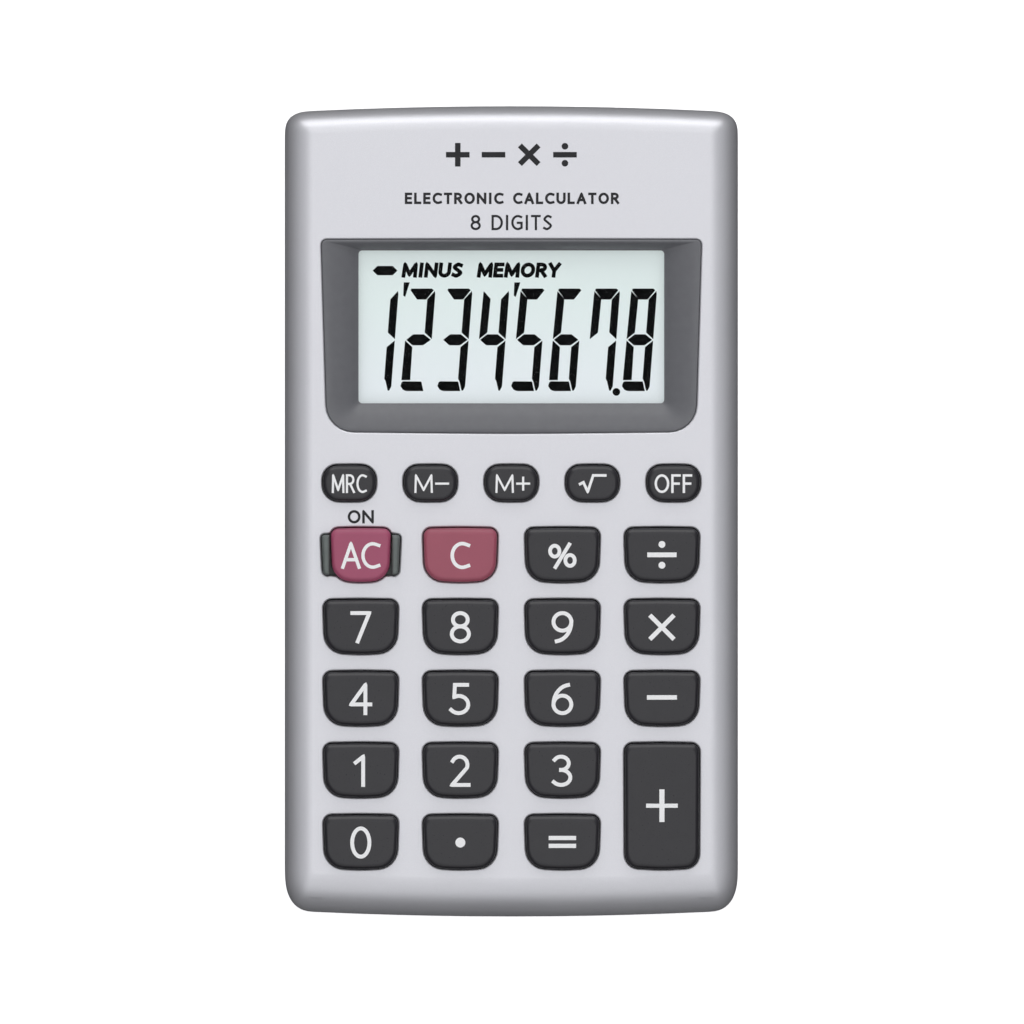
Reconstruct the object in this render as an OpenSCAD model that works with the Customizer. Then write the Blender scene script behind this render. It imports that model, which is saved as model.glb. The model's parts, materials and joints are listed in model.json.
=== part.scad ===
// Pocket calculator: a wedge-shaped two-shell case, 24 keys that travel on rubber domes,
// a liquid-crystal display and one AA cell behind a sliding door.
//
// Millimetres. The back lies on z = 0, +Y runs to the display end and +Z is up.
// The face slopes, so most pieces are drawn in the face frame: its origin is on the face,
// half way along the case, its Z is the face's outward normal, and a depth below the face
// is a negative height there.

/* [Case] */
// Width of the case
case_w = 71; // [71:0.5:73]
// Length of the case, measured along the table
case_l = 127; // [127:0.5:129]
// Height of the face above the table, half way along the case
face_h = 15.2; // [15.2:0.1:16]
// Slope of the face, in degrees, rising to the display end
face_tilt = 3.5; // [3.3:0.1:3.7]
// Thickness of the side and end walls
wall = 1.8; // [1.7:0.1:1.8]
// Thickness of the face
plate = 1.8; // [1.6:0.1:1.8]
// Thickness of the back
floor_t = 1.6; // [1.4:0.1:1.6]
// Depth of the front shell below the face, down to the parting line
front_depth = 7; // [7:0.1:7.2]

/* [Keys] */
// Distance between the two middle columns of large keys
middle_pitch = 16; // [15.8:0.1:16.1]
// Distance from a middle column of large keys to the outer one
col_pitch = 15.6; // [15.4:0.1:15.8]
// Distance between the rows of large keys
row_pitch = 11.27; // [11.1:0.01:11.3]
// Distance between the keys of the small row
small_pitch = 12.7; // [12.5:0.1:12.8]
// Width of a large key's cap
cap_w = 11.6; // [11.2:0.1:11.7]
// Height of a large key's cap, along the case
cap_h = 8.5; // [8.3:0.1:8.7]
// How far a cap stands above the face
cap_rise = 1.4; // [1.3:0.1:1.8]
// Gap between a cap and the edge of its hole
cap_gap = 0.14; // [0.12:0.01:0.2]
// How far a key travels
travel = 1.2; // [1:0.1:1.2]

/* [Display] */
// Width of the visible window
window_w = 47.9; // [46:0.1:48]
// Height of the visible window, along the case
window_h = 24; // [22:0.1:24]
// Depth of the window below the face
window_depth = 2.1; // [1.9:0.1:2.1]

/* [Battery] */
// Diameter of the AA cell
cell_d = 14.2; // [13.8:0.1:14.2]
// Length of the AA cell, with its nub
cell_l = 50.5; // [49.5:0.1:50.5]

/* [Hidden] */
$fn = 48;
BIG = 200;

// Rows and columns in the face frame
row_1 = -6.84;
small_row = 4.43;
function col(i) = sign(i - 1.5) * (middle_pitch / 2 + (i == 0 || i == 3 ? col_pitch : 0));
function row(j) = row_1 - j * row_pitch;
function small_col(i) = (i - 2) * small_pitch;

// name, place across, place along, kind
KEYS = [
    ["key_mrc", small_col(0), small_row, "small"],
    ["key_m_minus", small_col(1), small_row, "small"],
    ["key_m_plus", small_col(2), small_row, "small"],
    ["key_sqrt", small_col(3), small_row, "small"],
    ["key_off", small_col(4), small_row, "small"],
    ["key_ac", col(0), row(0), "guarded"],
    ["key_c", col(1), row(0), "red"],
    ["key_percent", col(2), row(0), "large"],
    ["key_divide", col(3), row(0), "large"],
    ["key_7", col(0), row(1), "large"],
    ["key_8", col(1), row(1), "large"],
    ["key_9", col(2), row(1), "large"],
    ["key_multiply", col(3), row(1), "large"],
    ["key_4", col(0), row(2), "large"],
    ["key_5", col(1), row(2), "large"],
    ["key_6", col(2), row(2), "large"],
    ["key_minus", col(3), row(2), "large"],
    ["key_1", col(0), row(3), "large"],
    ["key_2", col(1), row(3), "large"],
    ["key_3", col(2), row(3), "large"],
    ["key_0", col(0), row(4), "large"],
    ["key_point", col(1), row(4), "large"],
    ["key_equals", col(2), row(4), "large"],
    ["key_plus", col(3), row(3.5), "tall"]
];

// Case edges: how square the plan's corners are, and radii of the rolled and back edges
display_power = 3;
keypad_power = 2.6;
side_roll = 4.6;
display_roll = 3.8;
keypad_roll = 6.4;
back_roll = 2.6;
end_bow = 0.95;     // the ends' corners lie this far behind the middle of the end

// Keys, in the face frame
cap_top_r = 1.2;
cap_low_r = 3;
cap_taper = 0.3;
cap_bow = 0.35;
cap_crown = 0.12;   // the upper edge bows by this much
cap_edge = 0.6;     // radius along the cap's upper edge
small_w = 8.35;
small_h = 5.6;
small_top_r = 2.2;
small_low_r = 2.5;
guarded_w = 9.5;
flange_reach = 0.6;
flange_t = 0.8;
flange_gap = 0.1;   // under the face, so that the cap never binds
dome_top = -3.25;
plunger_gap = 0.05;
plunger_r = 1.9;

// Rubber domes and the board below them
board_top = -6;
board_t = 1;
board_low = board_top - board_t;
sheet_t = 0.8;
web_t = 0.4;
hub_low = -4.5;
pill_t = 0.3;
function dome_r(kind) = kind == "small" ? 2.7 : 3.5;
function hub_r(kind) = kind == "small" ? 1.6 : 2;

// The guard beside the power key
guard_w = 12.4;
guard_l = 6.4;
guard_rise = 1.7;
guard_frame_t = 0.6;

// Display stack, in the face frame
bezel_w = 59.7;
bezel_top = 42.8;
bezel_low = 12.15;
bezel_h = bezel_top - bezel_low;
bezel_v = (bezel_top + bezel_low) / 2;
bezel_gap = 0.05;
bezel_flange = 1;
window_v = 28.85;
tape_t = 0.1;
lens_t = 1;
lens_margin = 1.5;
lens_top = -window_depth - tape_t;
polariser_t = 0.2;
glass_t = 0.7;
lcd_top = -3.4;
lcd_w = 54;
lcd_low = 14.4;
lcd_h = 28;
ledge = 2.4;        // the front glass reaches past the rear one, to carry the contacts
holder_rim = 2;

// Fasteners, in the face frame
case_bosses = [[-30.9, 9.3], [30.9, 9.3], [-30.4, -58.6], [30.4, -58.6]];
board_bosses = [
    [-19.05, 9.2], [19.05, 9.2], [0, -12.6], [-15.8, -23.8], [15.8, -23.8], [0, -46.3]
];
support_posts = [[-15.8, -35.05], [15.8, -35.05], [-15.8, -46.3], [-24, 40], [24, 40]];
case_boss_r = 2.4;
rear_boss_r = 3;
board_boss_r = 1.7;
screw_r = 1;
screw_gap = 0.05;
case_head_r = 2.1;
case_head_t = 1.4;
case_head_seat = -8.7;
board_head_r = 1.8;
board_head_t = 0.9;
screw_l = 5.8;
board_screw_l = 4.6;

// Battery compartment, in the table's frame
cell_y = 53.7;
cell_z = 9;
cell_x = -24.4;     // the cell's flat end
nub_l = 1.3;
nub_r = 2.7;
partition_y = 45.2;
partition_t = 1.2;
tub_x = 29.2;
tub_t = 1.2;
contact_t = 0.4;
door_w = 54.6;
door_y = 46.6;
door_t = 1.4;
door_low = 0.15;
door_gap = 0.15;
door_end_h = 5;
lip_w = 1.1;
lip_t = 0.8;

// ---- outlines -----------------------------------------------------------------

// The arc that rounds corner b of the path a, b, c.
function corner_arc(a, b, c, r, steps) =
    let (
        u = (a - b) / norm(a - b),
        v = (c - b) / norm(c - b),
        half = acos(u * v) / 2,
        centre = b + (u + v) / norm(u + v) * r / sin(half),
        from = b + u * r / tan(half) - centre,
        to = b + v * r / tan(half) - centre,
        start = atan2(from[1], from[0]),
        turn = (atan2(to[1], to[0]) - start + 540) % 360 - 180
    )
    [for (i = [0:steps])
        let (a = start + turn * i / steps) centre + r * [cos(a), sin(a)]];

// A closed outline through pts, with each corner rounded to its own radius.
function rounded(pts, radii, steps = 6) =
    let (n = len(pts))
    [for (i = [0:n - 1])
        each corner_arc(pts[(i + n - 1) % n], pts[i], pts[(i + 1) % n], radii[i], steps)];

function rounded_box(w, h, r, steps = 6) = rounded(
    [[-w / 2, -h / 2], [w / 2, -h / 2], [w / 2, h / 2], [-w / 2, h / 2]],
    [r, r, r, r], steps);

// Small upper corners, larger lower ones, sides that draw in and bowed ends.
function shield(w, h, top_r, low_r, taper, bow, crown) =
    rounded(
        [[-w / 2 + taper, -h / 2 + bow], [0, -h / 2], [w / 2 - taper, -h / 2 + bow],
         [w / 2, h / 2 - crown], [0, h / 2], [-w / 2, h / 2 - crown]],
        [low_r, w * w / (14 * bow), low_r, top_r, w * w / (14 * crown), top_r]);

// A quarter of a superellipse round [x, y], whose power sets how square it is.
function soft_corner(x, y, rx, ry, power, from) =
    [for (i = [0:9])
        let (a = from + 10 * i, u = cos(a), v = sin(a))
        [x + rx * sign(u) * pow(abs(u), 2 / power), y + ry * sign(v) * pow(abs(v), 2 / power)]];

// One end of the plan, from its right side to its left; end is 1 or -1.
function case_end(inset, end) =
    let (
        roll = end > 0 ? display_roll : keypad_roll,
        power = end > 0 ? display_power : keypad_power,
        x = case_w / 2 - side_roll,
        y = end * (case_l / 2 - roll),
        rx = side_roll - inset,
        ry = roll - inset,
        right = soft_corner(x, y, rx, ry, power, 0),
        left = soft_corner(-x, y, rx, ry, power, 90),
        middle = [for (i = [3:-1:-3]) [x * i / 4, y + end * ry]],
        low_left = soft_corner(-x, y, rx, ry, power, 180),
        low_right = soft_corner(x, y, rx, ry, power, 270)
    )
    end > 0 ? concat(right, middle, left) : concat(low_left, [for (p = middle) [-p[0], p[1]]], low_right);

function case_outline(inset) =
    [for (p = concat(case_end(inset, 1), case_end(inset, -1)))
        [p[0], p[1] - sign(p[1]) * end_bow * pow(2 * p[0] / case_w, 2)]];

function face_z(y) = face_h + y * tan(face_tilt);

// The case from the side: y across, z up.
function side_profile(inset, bottom, depth) =
    let (y = case_l / 2 - inset, drop = depth / cos(face_tilt))
    rounded(
        [[-y, bottom], [y, bottom], [y, face_z(y) - drop], [-y, face_z(-y) - drop]],
        [back_roll - inset / 2, back_roll - inset / 2,
         display_roll - inset, keypad_roll - inset]);

// The case from the end: its face's edges in the face frame, or its back's edges.
function face_section(inset, depth) =
    let (x = case_w / 2 - inset, r = side_roll - inset)
    rounded([[-x, -BIG / 4], [x, -BIG / 4], [x, -depth], [-x, -depth]], [1, 1, r, r]);

function back_section(inset, bottom) =
    let (x = case_w / 2 - inset, r = back_roll - inset / 2)
    rounded([[-x, bottom], [x, bottom], [x, BIG / 4], [-x, BIG / 4]], [r, r, 1, 1]);

// A key's outline, grown by g on every side.
function key_outline(kind, g) =
    kind == "small"
        ? shield(small_w + 2 * g, small_h + 2 * g, small_top_r + g, small_low_r + g,
            0.15, 0.12, 0.08)
        : shield(
            (kind == "guarded" ? guarded_w : cap_w) + 2 * g,
            (kind == "tall" ? cap_h + row_pitch : cap_h) + 2 * g,
            cap_top_r + g, (kind == "tall" ? cap_low_r * 0.7 : cap_low_r) + g,
            kind == "tall" ? 0.1 : cap_taper, cap_bow, cap_crown);

function bezel_outline(g) =
    shield(bezel_w + 2 * g, bezel_h + 2 * g, 0.9 + g, 4.4 + g, 0.9, 0.3, 0.05);

// ---- frames and small solids ----------------------------------------------------

module face_frame() translate([0, 0, face_h]) rotate([face_tilt, 0, 0]) children();

// A slab between two heights, from a list of points.
module slab(points, low, high) translate([0, 0, low])
    linear_extrude(height = high - low) polygon(points);

module block(w, h, low, high) slab(
    [[-w / 2, -h / 2], [w / 2, -h / 2], [w / 2, h / 2], [-w / 2, h / 2]], low, high);

module rod(r, low, high) translate([0, 0, low]) cylinder(r = r, h = high - low);

// A solid through a list of rings of points, all with the same number of points.
module loft(rings) {
    n = len(rings[0]);
    m = len(rings);
    polyhedron(
        points = [for (ring = rings) each ring],
        faces = concat(
            [[for (i = [0:n - 1]) i]],
            [for (j = [0:m - 2]) for (i = [0:n - 1]) let (k = (i + 1) % n)
                [j * n + k, j * n + i, (j + 1) * n + i, (j + 1) * n + k]],
            [[for (i = [n - 1:-1:0]) (m - 1) * n + i]]
        )
    );
}

function at_height(points, z) = [for (p = points) [p[0], p[1], z]];

// A round tube along a path. No stretch of the path runs along reference.
module tube(path, r, reference, sides = 8) {
    last = len(path) - 1;
    rings = [for (i = [0:last])
        let (
            along = path[min(i + 1, last)] - path[max(i - 1, 0)],
            t = along / norm(along),
            side = cross(t, reference),
            a = side / norm(side),
            b = cross(t, a)
        )
        [for (k = [0:sides - 1])
            path[i] + r * (a * cos(360 * k / sides) + b * sin(360 * k / sides))]];
    loft(rings);
}

// A smooth curve through pts, with this many steps between neighbours.
function smooth_path(pts, steps) =
    let (n = len(pts) - 1)
    [for (i = [0:n - 1]) each
        let (
            a = pts[max(i - 1, 0)], b = pts[i], c = pts[i + 1], d = pts[min(i + 2, n)]
        )
        [for (s = [0:i == n - 1 ? steps : steps - 1])
            let (t = s / steps)
            0.5 * (2 * b + t * (c - a) + t * t * (2 * a - 5 * b + 4 * c - d)
                + t * t * t * (3 * b - a - 3 * c + d))]];

// ---- case -------------------------------------------------------------------------

// The closed block of the case: its outside, or with an inset the hollow inside it.
module case_block(inset = 0, bottom = 0, depth = 0) intersection() {
    slab(case_outline(inset), -1, 30);
    rotate([90, 0, 90]) linear_extrude(height = BIG, center = true)
        polygon(side_profile(inset, bottom, depth));
    face_frame() rotate([90, 0, 0]) linear_extrude(height = BIG, center = true)
        polygon(face_section(inset, depth));
    rotate([90, 0, 0]) linear_extrude(height = BIG, center = true)
        polygon(back_section(inset, bottom));
}

module case_hollow() case_block(wall, floor_t, plate);

module at_bosses(places) for (p = places) face_frame() translate([p[0], p[1], 0]) children();

// The keys' holes, and the wider one for the power key with its guard.
module key_holes() for (k = KEYS) face_frame() translate([k[1], k[2], 0]) {
    slab(key_outline(k[3], cap_gap), -plate - 1, 1);
    if (k[3] == "guarded") slab(guard_outline(cap_gap), -plate - 1, 1);
}

module front_case() color("silver") difference() {
    union() {
        difference() {
            intersection() {
                case_block();
                face_frame() block(BIG, BIG, -front_depth, 5);
            }
            case_hollow();
        }
        at_bosses(case_bosses) rod(case_boss_r, -front_depth, -plate + 0.4);
        at_bosses(board_bosses) rod(board_boss_r, board_top, -plate + 0.4);
    }
    key_holes();
    face_frame() translate([0, bezel_v, 0]) slab(bezel_outline(0), -plate - 1, 1);
    at_bosses(case_bosses) rod(screw_r + screw_gap, -front_depth - 1, -2.6);
    at_bosses(board_bosses) rod(screw_r + screw_gap, board_top - 1, -2.6);
}

// The hole in the back and the display end that the door closes, with its rails.
module door_space(gap) {
    depth = 30;
    translate([0, door_y - gap + depth / 2, 0]) {
        block(door_w + 2 * gap, depth, -1, floor_t + gap);
        block(door_w + 2 * (lip_w + gap), depth, floor_t - gap * 0.5, floor_t + gap * 1.5 + lip_t);
    }
    translate([0, case_l / 2, 0])
        block(door_w + 2 * gap, 2 * (wall + 0.6 + gap), -1, door_end_h + gap);
}

module rear_case() color("silver") difference() {
    union() {
        difference() {
            intersection() {
                case_block();
                face_frame() block(BIG, BIG, -30, -front_depth);
            }
            case_hollow();
        }
        intersection() {
            case_block(wall / 2, floor_t / 2, plate);
            union() {
                at_bosses(case_bosses) rod(rear_boss_r, -20, board_low - 0.1);
                at_bosses(support_posts) rod(1.2, -20, board_low - 0.1);
                partitions();
            }
        }
        rim_lip();
    }
    door_space(door_gap);
    at_bosses(case_bosses) rod(case_head_r + 0.2, -25, case_head_seat);
    at_bosses(case_bosses) rod(screw_r + 0.2, -25, 0);
    lead_notches();
}

// The wall between the cell and the board, and the two walls behind the contacts.
module partitions() {
    wall_top = 13.6;
    translate([0, partition_y + partition_t / 2, 0])
        block(2 * (tub_x + tub_t), partition_t, 0, 10.4);
    for (side = [-1, 1]) translate([side * (tub_x + tub_t / 2), (partition_y + case_l / 2) / 2, 0])
        block(tub_t, case_l / 2 - partition_y, 0, wall_top - 2.2);
}

// Slots that let the two battery leads pass the partition.
module lead_notches() for (side = [-1, 1])
    translate([side * 27.4, partition_y + partition_t / 2, 0])
        block(1.8, 2 * partition_t, 8.6, 20);

// A thin rim inside the front shell, which keeps the two shells in line.
module rim_lip() {
    rim_h = 1.2;
    rim_t = 0.8;
    difference() {
        intersection() {
            case_block(wall + 0.1, floor_t, plate + 0.1);
            face_frame() block(BIG, BIG, -front_depth - 1.5, -front_depth + rim_h);
        }
        slab(case_outline(wall + 0.1 + rim_t), -1, 30);
        at_bosses(case_bosses) rod(case_boss_r + 0.2, -front_depth - 0.05, 0);
        translate([0, case_l / 2, 0]) block(door_w + 2, 10, 0, door_end_h + 1);
    }
}

module battery_door() color("silver") difference() {
    union() {
        intersection() {
            case_block();
            union() {
                translate([0, door_y + 15, 0]) block(door_w, 30, door_low, door_low + door_t);
                translate([0, case_l / 2, 0])
                    block(door_w, 2 * (wall + 0.6), door_low, door_end_h);
            }
        }
        intersection() {
            case_block();
            translate([0, door_y + 15, 0]) difference() {
                block(door_w + 2 * lip_w, 30, floor_t + door_gap / 2, floor_t + door_gap / 2 + lip_t);
                block(door_w - 2 * lip_w, 31, 0, 10);
            }
        }
        for (side = [-1, 1]) translate([side * (door_w / 2 - lip_w / 2), door_y, 0])
            translate([0, 7, 0]) block(lip_w, 14, door_low + 0.5, floor_t + door_gap + lip_t / 2);
    }
    door_grip();
}

// Finger grooves across the door.
module door_grip() for (i = [0:4])
    translate([0, door_y + 6 + 1.6 * i, 0]) block(16 - 2 * i, 0.7, -1, door_low + 0.4);

// ---- display --------------------------------------------------------------------------

module display_bezel() color("dimgray") face_frame() translate([0, bezel_v, 0]) difference() {
    union() {
        slab(bezel_outline(-bezel_gap), -window_depth, -bezel_gap);
        slab(bezel_outline(bezel_flange), -window_depth - 0.5, -plate);
    }
    translate([0, window_v - bezel_v, 0]) {
        slab(rounded_box(window_w, window_h, 0.6), -window_depth - 1, 1);
        bezel_slopes();
        slab(rounded_box(window_w + 2 * lens_margin + 0.3, window_h + 2 * lens_margin + 0.3, 1),
            -window_depth - 1, -window_depth);
    }
}

// The dished space above the window: steep at the top, wide at the sides and below.
module bezel_slopes() {
    side = 5.2;
    top = 1.6;
    low = 4.2;
    r = 0.6;
    inner = rounded_box(window_w, window_h, r);
    function spread(p, t) = [
        p[0] + sign(p[0]) * side * t,
        p[1] + (p[1] > 0 ? top : -low) * t
    ];
    loft([
        at_height([for (p = inner) spread(p, 0)], -window_depth + 0.2),
        at_height([for (p = inner) spread(p, 0.55)], -window_depth + 0.9),
        at_height([for (p = inner) spread(p, 1)], -bezel_gap - 0.2),
        at_height([for (p = inner) spread(p, 1.02)], 0.5)
    ]);
}

module lens_place() face_frame() translate([0, window_v, 0]) children();

function lens_outline(shrink) = rounded_box(
    window_w + 2 * lens_margin - 2 * shrink, window_h + 2 * lens_margin - 2 * shrink, 0.9);

module window_tape() color("black") lens_place() difference() {
    slab(lens_outline(0.1), lens_top, -window_depth);
    block(window_w + 0.6, window_h + 0.6, -10, 0);
}

module display_window() color("lightcyan") lens_place()
    slab(lens_outline(0), lens_top - lens_t, lens_top);

// One layer of the display cell, centred across, between its lower and upper edge.
module lcd_layer(low_edge, inset, top, t) face_frame()
    translate([0, (low_edge + lcd_low + lcd_h) / 2, 0])
        block(lcd_w - 2 * inset, lcd_low + lcd_h - low_edge - 2 * inset, top - t, top);

module lcd_front_polariser() color("gray") lcd_layer(lcd_low, 0.8, lcd_top, polariser_t);

module lcd_front_glass() color("azure") lcd_layer(lcd_low, 0, lcd_top - polariser_t, glass_t);

module lcd_rear_glass() color("azure")
    lcd_layer(lcd_low + ledge, 0, lcd_top - polariser_t - glass_t, glass_t);

module lcd_reflector() color("honeydew")
    lcd_layer(lcd_low + ledge, 0.4, lcd_top - polariser_t - 2 * glass_t, polariser_t);

// Rubber strip of alternate carbon and silicone layers, from the glass to the board.
module zebra_strip() color("dimgray") face_frame() translate([0, lcd_low + 1.1, 0])
    block(50, 1.6, board_top, lcd_top - polariser_t - glass_t);

// Frame that keeps the display cell and the zebra strip in place on the board.
module lcd_holder() color("whitesmoke") face_frame() difference() {
    translate([0, lcd_low + lcd_h / 2, 0])
        block(lcd_w + 2 * holder_rim, lcd_h + 1.6, board_top, -window_depth - 0.7);
    translate([0, lcd_low + lcd_h / 2, 0]) block(lcd_w + 0.4, lcd_h + 0.4, board_top + 0.4, 0);
    translate([0, lcd_low + ledge + lcd_h / 2, 0]) block(lcd_w - 4, lcd_h - 6, -10, 0);
    translate([0, lcd_low + 1.1, 0]) block(50.4, 2, -10, 0);
}

// ---- keys -----------------------------------------------------------------------------

function key_rise(kind) = kind == "small" ? cap_rise - 0.2 : cap_rise;

module keycap(k) {
    kind = k[3];
    guarded = kind == "guarded";
    flange_top = guarded ? -plate - guard_frame_t - flange_gap : -plate - flange_gap;
    flange_low = guarded ? dome_top + plunger_gap : flange_top - flange_t;
    rise = key_rise(kind);
    steps = 3;
    face_frame() translate([k[1], k[2], 0])
        color(guarded || kind == "red" ? "indianred" : "darkslategray") {
            loft(concat(
                [at_height(key_outline(kind, 0), flange_top - 0.1)],
                [for (i = [0:steps])
                    let (a = 90 * i / steps)
                    at_height(
                        key_outline(kind, -cap_edge * (1 - cos(a))),
                        rise - cap_edge * (1 - sin(a)))]
            ));
            slab(flange_outline(kind), flange_low, flange_top);
            if (!guarded) rod(plunger_r - (kind == "small" ? 0.4 : 0),
                dome_top + plunger_gap, flange_low + 0.1);
        }
}

// The flange that stops under the face. The power key's is narrow, to clear its guard.
function flange_outline(kind) = kind == "guarded"
    ? rounded_box(guarded_w - 0.6, cap_h + 2 * flange_reach, 0.5)
    : key_outline(kind, flange_reach);

function guard_outline(g) =
    shield(guard_w + 2 * g, guard_l + 2 * g, 0.5 + g, 0.7 + g, 0.35, 0.05, 0.05);

// Two ribs that stand beside the power key, on a frame that sits under the face.
module power_key_guard() color("slategray")
    face_frame() translate([KEYS[5][1], KEYS[5][2], 0]) difference() {
        union() {
            slab(guard_outline(0), -plate - guard_frame_t, guard_rise);
            slab(rounded_box(guard_w + 2, cap_h + 2, 0.8), -plate - guard_frame_t, -plate);
        }
        slab(key_outline("guarded", cap_gap), -plate - 2, guard_rise + 1);
    }

// ---- rubber domes and carbon pills ----------------------------------------------------

// One dome: a thin cone from the sheet up to the hub that the key's plunger meets.
module dome_outside(kind) {
    rod(hub_r(kind), hub_low, dome_top);
    translate([0, 0, board_top + sheet_t - 0.01])
        cylinder(r1 = dome_r(kind) + web_t, r2 = hub_r(kind), h = hub_low + web_t - board_top - sheet_t);
}

module dome_inside(kind) {
    rod(dome_r(kind), board_top - 1, board_top + sheet_t);
    translate([0, 0, board_top + sheet_t - 0.01])
        cylinder(r1 = dome_r(kind), r2 = hub_r(kind) - web_t, h = hub_low - board_top - sheet_t + 0.01);
}

module dome_sheet() color("lightgray") face_frame() difference() {
    union() {
        translate([0, -25.2, 0]) block(62, 65, board_top, board_top + sheet_t);
        for (k = KEYS) translate([k[1], k[2], 0]) dome_outside(k[3]);
    }
    for (k = KEYS) translate([k[1], k[2], 0]) dome_inside(k[3]);
    for (p = board_bosses) translate([p[0], p[1], 0]) rod(board_boss_r + 0.3, -10, 0);
    for (p = case_bosses) translate([p[0], p[1], 0]) rod(case_boss_r + 0.4, -10, 0);
}

module carbon_pills() color("black") for (k = KEYS)
    face_frame() translate([k[1], k[2], 0])
        rod(hub_r(k[3]) - web_t - 0.2, hub_low - pill_t, hub_low);

// ---- board ----------------------------------------------------------------------------

module main_board() color("seagreen") face_frame() difference() {
    translate([0, -6.85, 0]) block(63, 102.3, board_low, board_top);
    for (p = board_bosses) translate([p[0], p[1], 0]) rod(screw_r + 0.15, -10, 0);
    for (p = case_bosses) translate([p[0], p[1], 0]) rod(case_boss_r + 0.4, -10, 0);
}

// Two half discs under each dome, which its carbon pill bridges.
module contact_pads() color("black") for (k = KEYS) face_frame() translate([k[1], k[2], 0])
    difference() {
        rod(hub_r(k[3]) + 0.3, board_top, board_top + 0.1);
        block(0.4, 20, -10, 0);
    }

// The bare chip's drop of black resin, on the underside.
module processor_glob() color("black") face_frame() translate([0, 24, board_low])
    intersection() {
        translate([0, 0, 11]) sphere(r = 12.3, $fn = 96);
        block(20, 20, -5, 0);
    }

module buffer_capacitor() color("midnightblue") face_frame()
    translate([-19, 30, board_low - 2.1]) rotate([0, 90, 0]) cylinder(r = 2, h = 5.4);

module chip_capacitors() color("tan") face_frame()
    for (p = [[-8, 12], [-4, 12], [12, 34]])
        translate([p[0], p[1], 0]) block(1.6, 0.8, board_low - 0.8, board_low);

module chip_resistors() color("black") face_frame()
    for (p = [[10, 14], [13, 14], [16, 14]])
        translate([p[0], p[1], 0]) block(0.8, 1.6, board_low - 0.5, board_low);

// ---- screws ---------------------------------------------------------------------------

// A pan-head self-tapping screw that points up, with a cross recess in its head.
module tapping_screw(head_r, head_t, length) difference() {
    union() {
        rod(head_r, -head_t, 0);
        rod(screw_r, -0.1, length - 0.8);
        translate([0, 0, length - 0.8]) cylinder(r1 = screw_r, r2 = 0.4, h = 0.8);
    }
    for (a = [0, 90]) rotate([0, 0, a]) block(head_r * 1.3, 0.5, -head_t - 1, -head_t + 0.7);
}

module case_screws() color("dimgray") at_bosses(case_bosses)
    translate([0, 0, case_head_seat]) tapping_screw(case_head_r, case_head_t, screw_l);

module board_screws() color("lightsteelblue") at_bosses(board_bosses)
    translate([0, 0, board_low]) tapping_screw(board_head_r, board_head_t, board_screw_l - 0.4);

// ---- battery --------------------------------------------------------------------------

module along_x(x) translate([x, cell_y, cell_z]) rotate([0, 90, 0]) children();

module battery_cell() color("goldenrod") along_x(cell_x) rod(cell_d / 2, 0, cell_l - nub_l);

module cell_nub() color("lightsteelblue") along_x(cell_x + cell_l - nub_l) rod(nub_r, 0, nub_l);

// A plate that stands against the wall, with a tab that its lead is soldered to.
module contact_plate(side) {
    translate([side * (tub_x - contact_t / 2 - 0.02), cell_y, 0])
        block(contact_t, 11, 3.4, 14);
    translate([side * (tub_x - contact_t / 2 - 0.02), cell_y - 6, 0])
        block(contact_t, 1.4, 8.4, 11);
}

module positive_contact() color("lightsteelblue") {
    tip = cell_x + cell_l + 0.05;
    contact_plate(1);
    along_x(tip) cylinder(r1 = 2.2, r2 = 3.8, h = tub_x - contact_t - tip);
}

module negative_contact() color("lightsteelblue") contact_plate(-1);

// A coil that widens from the cell to the contact plate.
module negative_spring() color("lightsteelblue") {
    wire_r = 0.3;
    turns = 3;
    steps = 16;
    from = -tub_x + contact_t + 0.04 + wire_r;
    to = cell_x - wire_r - 0.03;
    path = [for (i = [0:turns * steps])
        let (t = i / (turns * steps), a = 360 * i / steps, r = 4.4 - 2.2 * t)
        [from + (to - from) * t, cell_y + r * cos(a), cell_z + r * sin(a)]];
    tube(path, wire_r, [1, 0, 0]);
}

// An insulated lead from a contact's tab, past the partition, to the board's underside.
module lead(side) {
    board_z = face_z(42.2) + board_low / cos(face_tilt);
    tube(smooth_path([
        [side * 28.2, 47.8, 9.8],
        [side * 27.4, 46.9, 9.6],
        [side * 27.4, 45.8, 9.4],
        [side * 27.4, 44.4, 9.1],
        [side * 27.2, 43.2, 9.0],
        [side * 26.8, 42.4, 9.6],
        [side * 26.8, 42.2, board_z - 0.05]
    ], 3), 0.5, [1, 0, 0]);
}

module positive_lead() color("crimson") lead(1);

module negative_lead() color("black") lead(-1);

// ---- what is drawn --------------------------------------------------------------------

front_case();
rear_case();
display_bezel();
display_window();
window_tape();
power_key_guard();
battery_door();
case_screws();
board_screws();
dome_sheet();
carbon_pills();
main_board();
contact_pads();
processor_glob();
buffer_capacitor();
chip_capacitors();
chip_resistors();
lcd_front_polariser();
lcd_front_glass();
lcd_rear_glass();
lcd_reflector();
zebra_strip();
lcd_holder();
battery_cell();
cell_nub();
positive_contact();
negative_contact();
negative_spring();
positive_lead();
negative_lead();
for (k = KEYS) keycap(k);
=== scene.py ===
import json
import math

import bmesh
import bpy
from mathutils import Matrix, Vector
from mathutils.geometry import delaunay_2d_cdt


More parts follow.
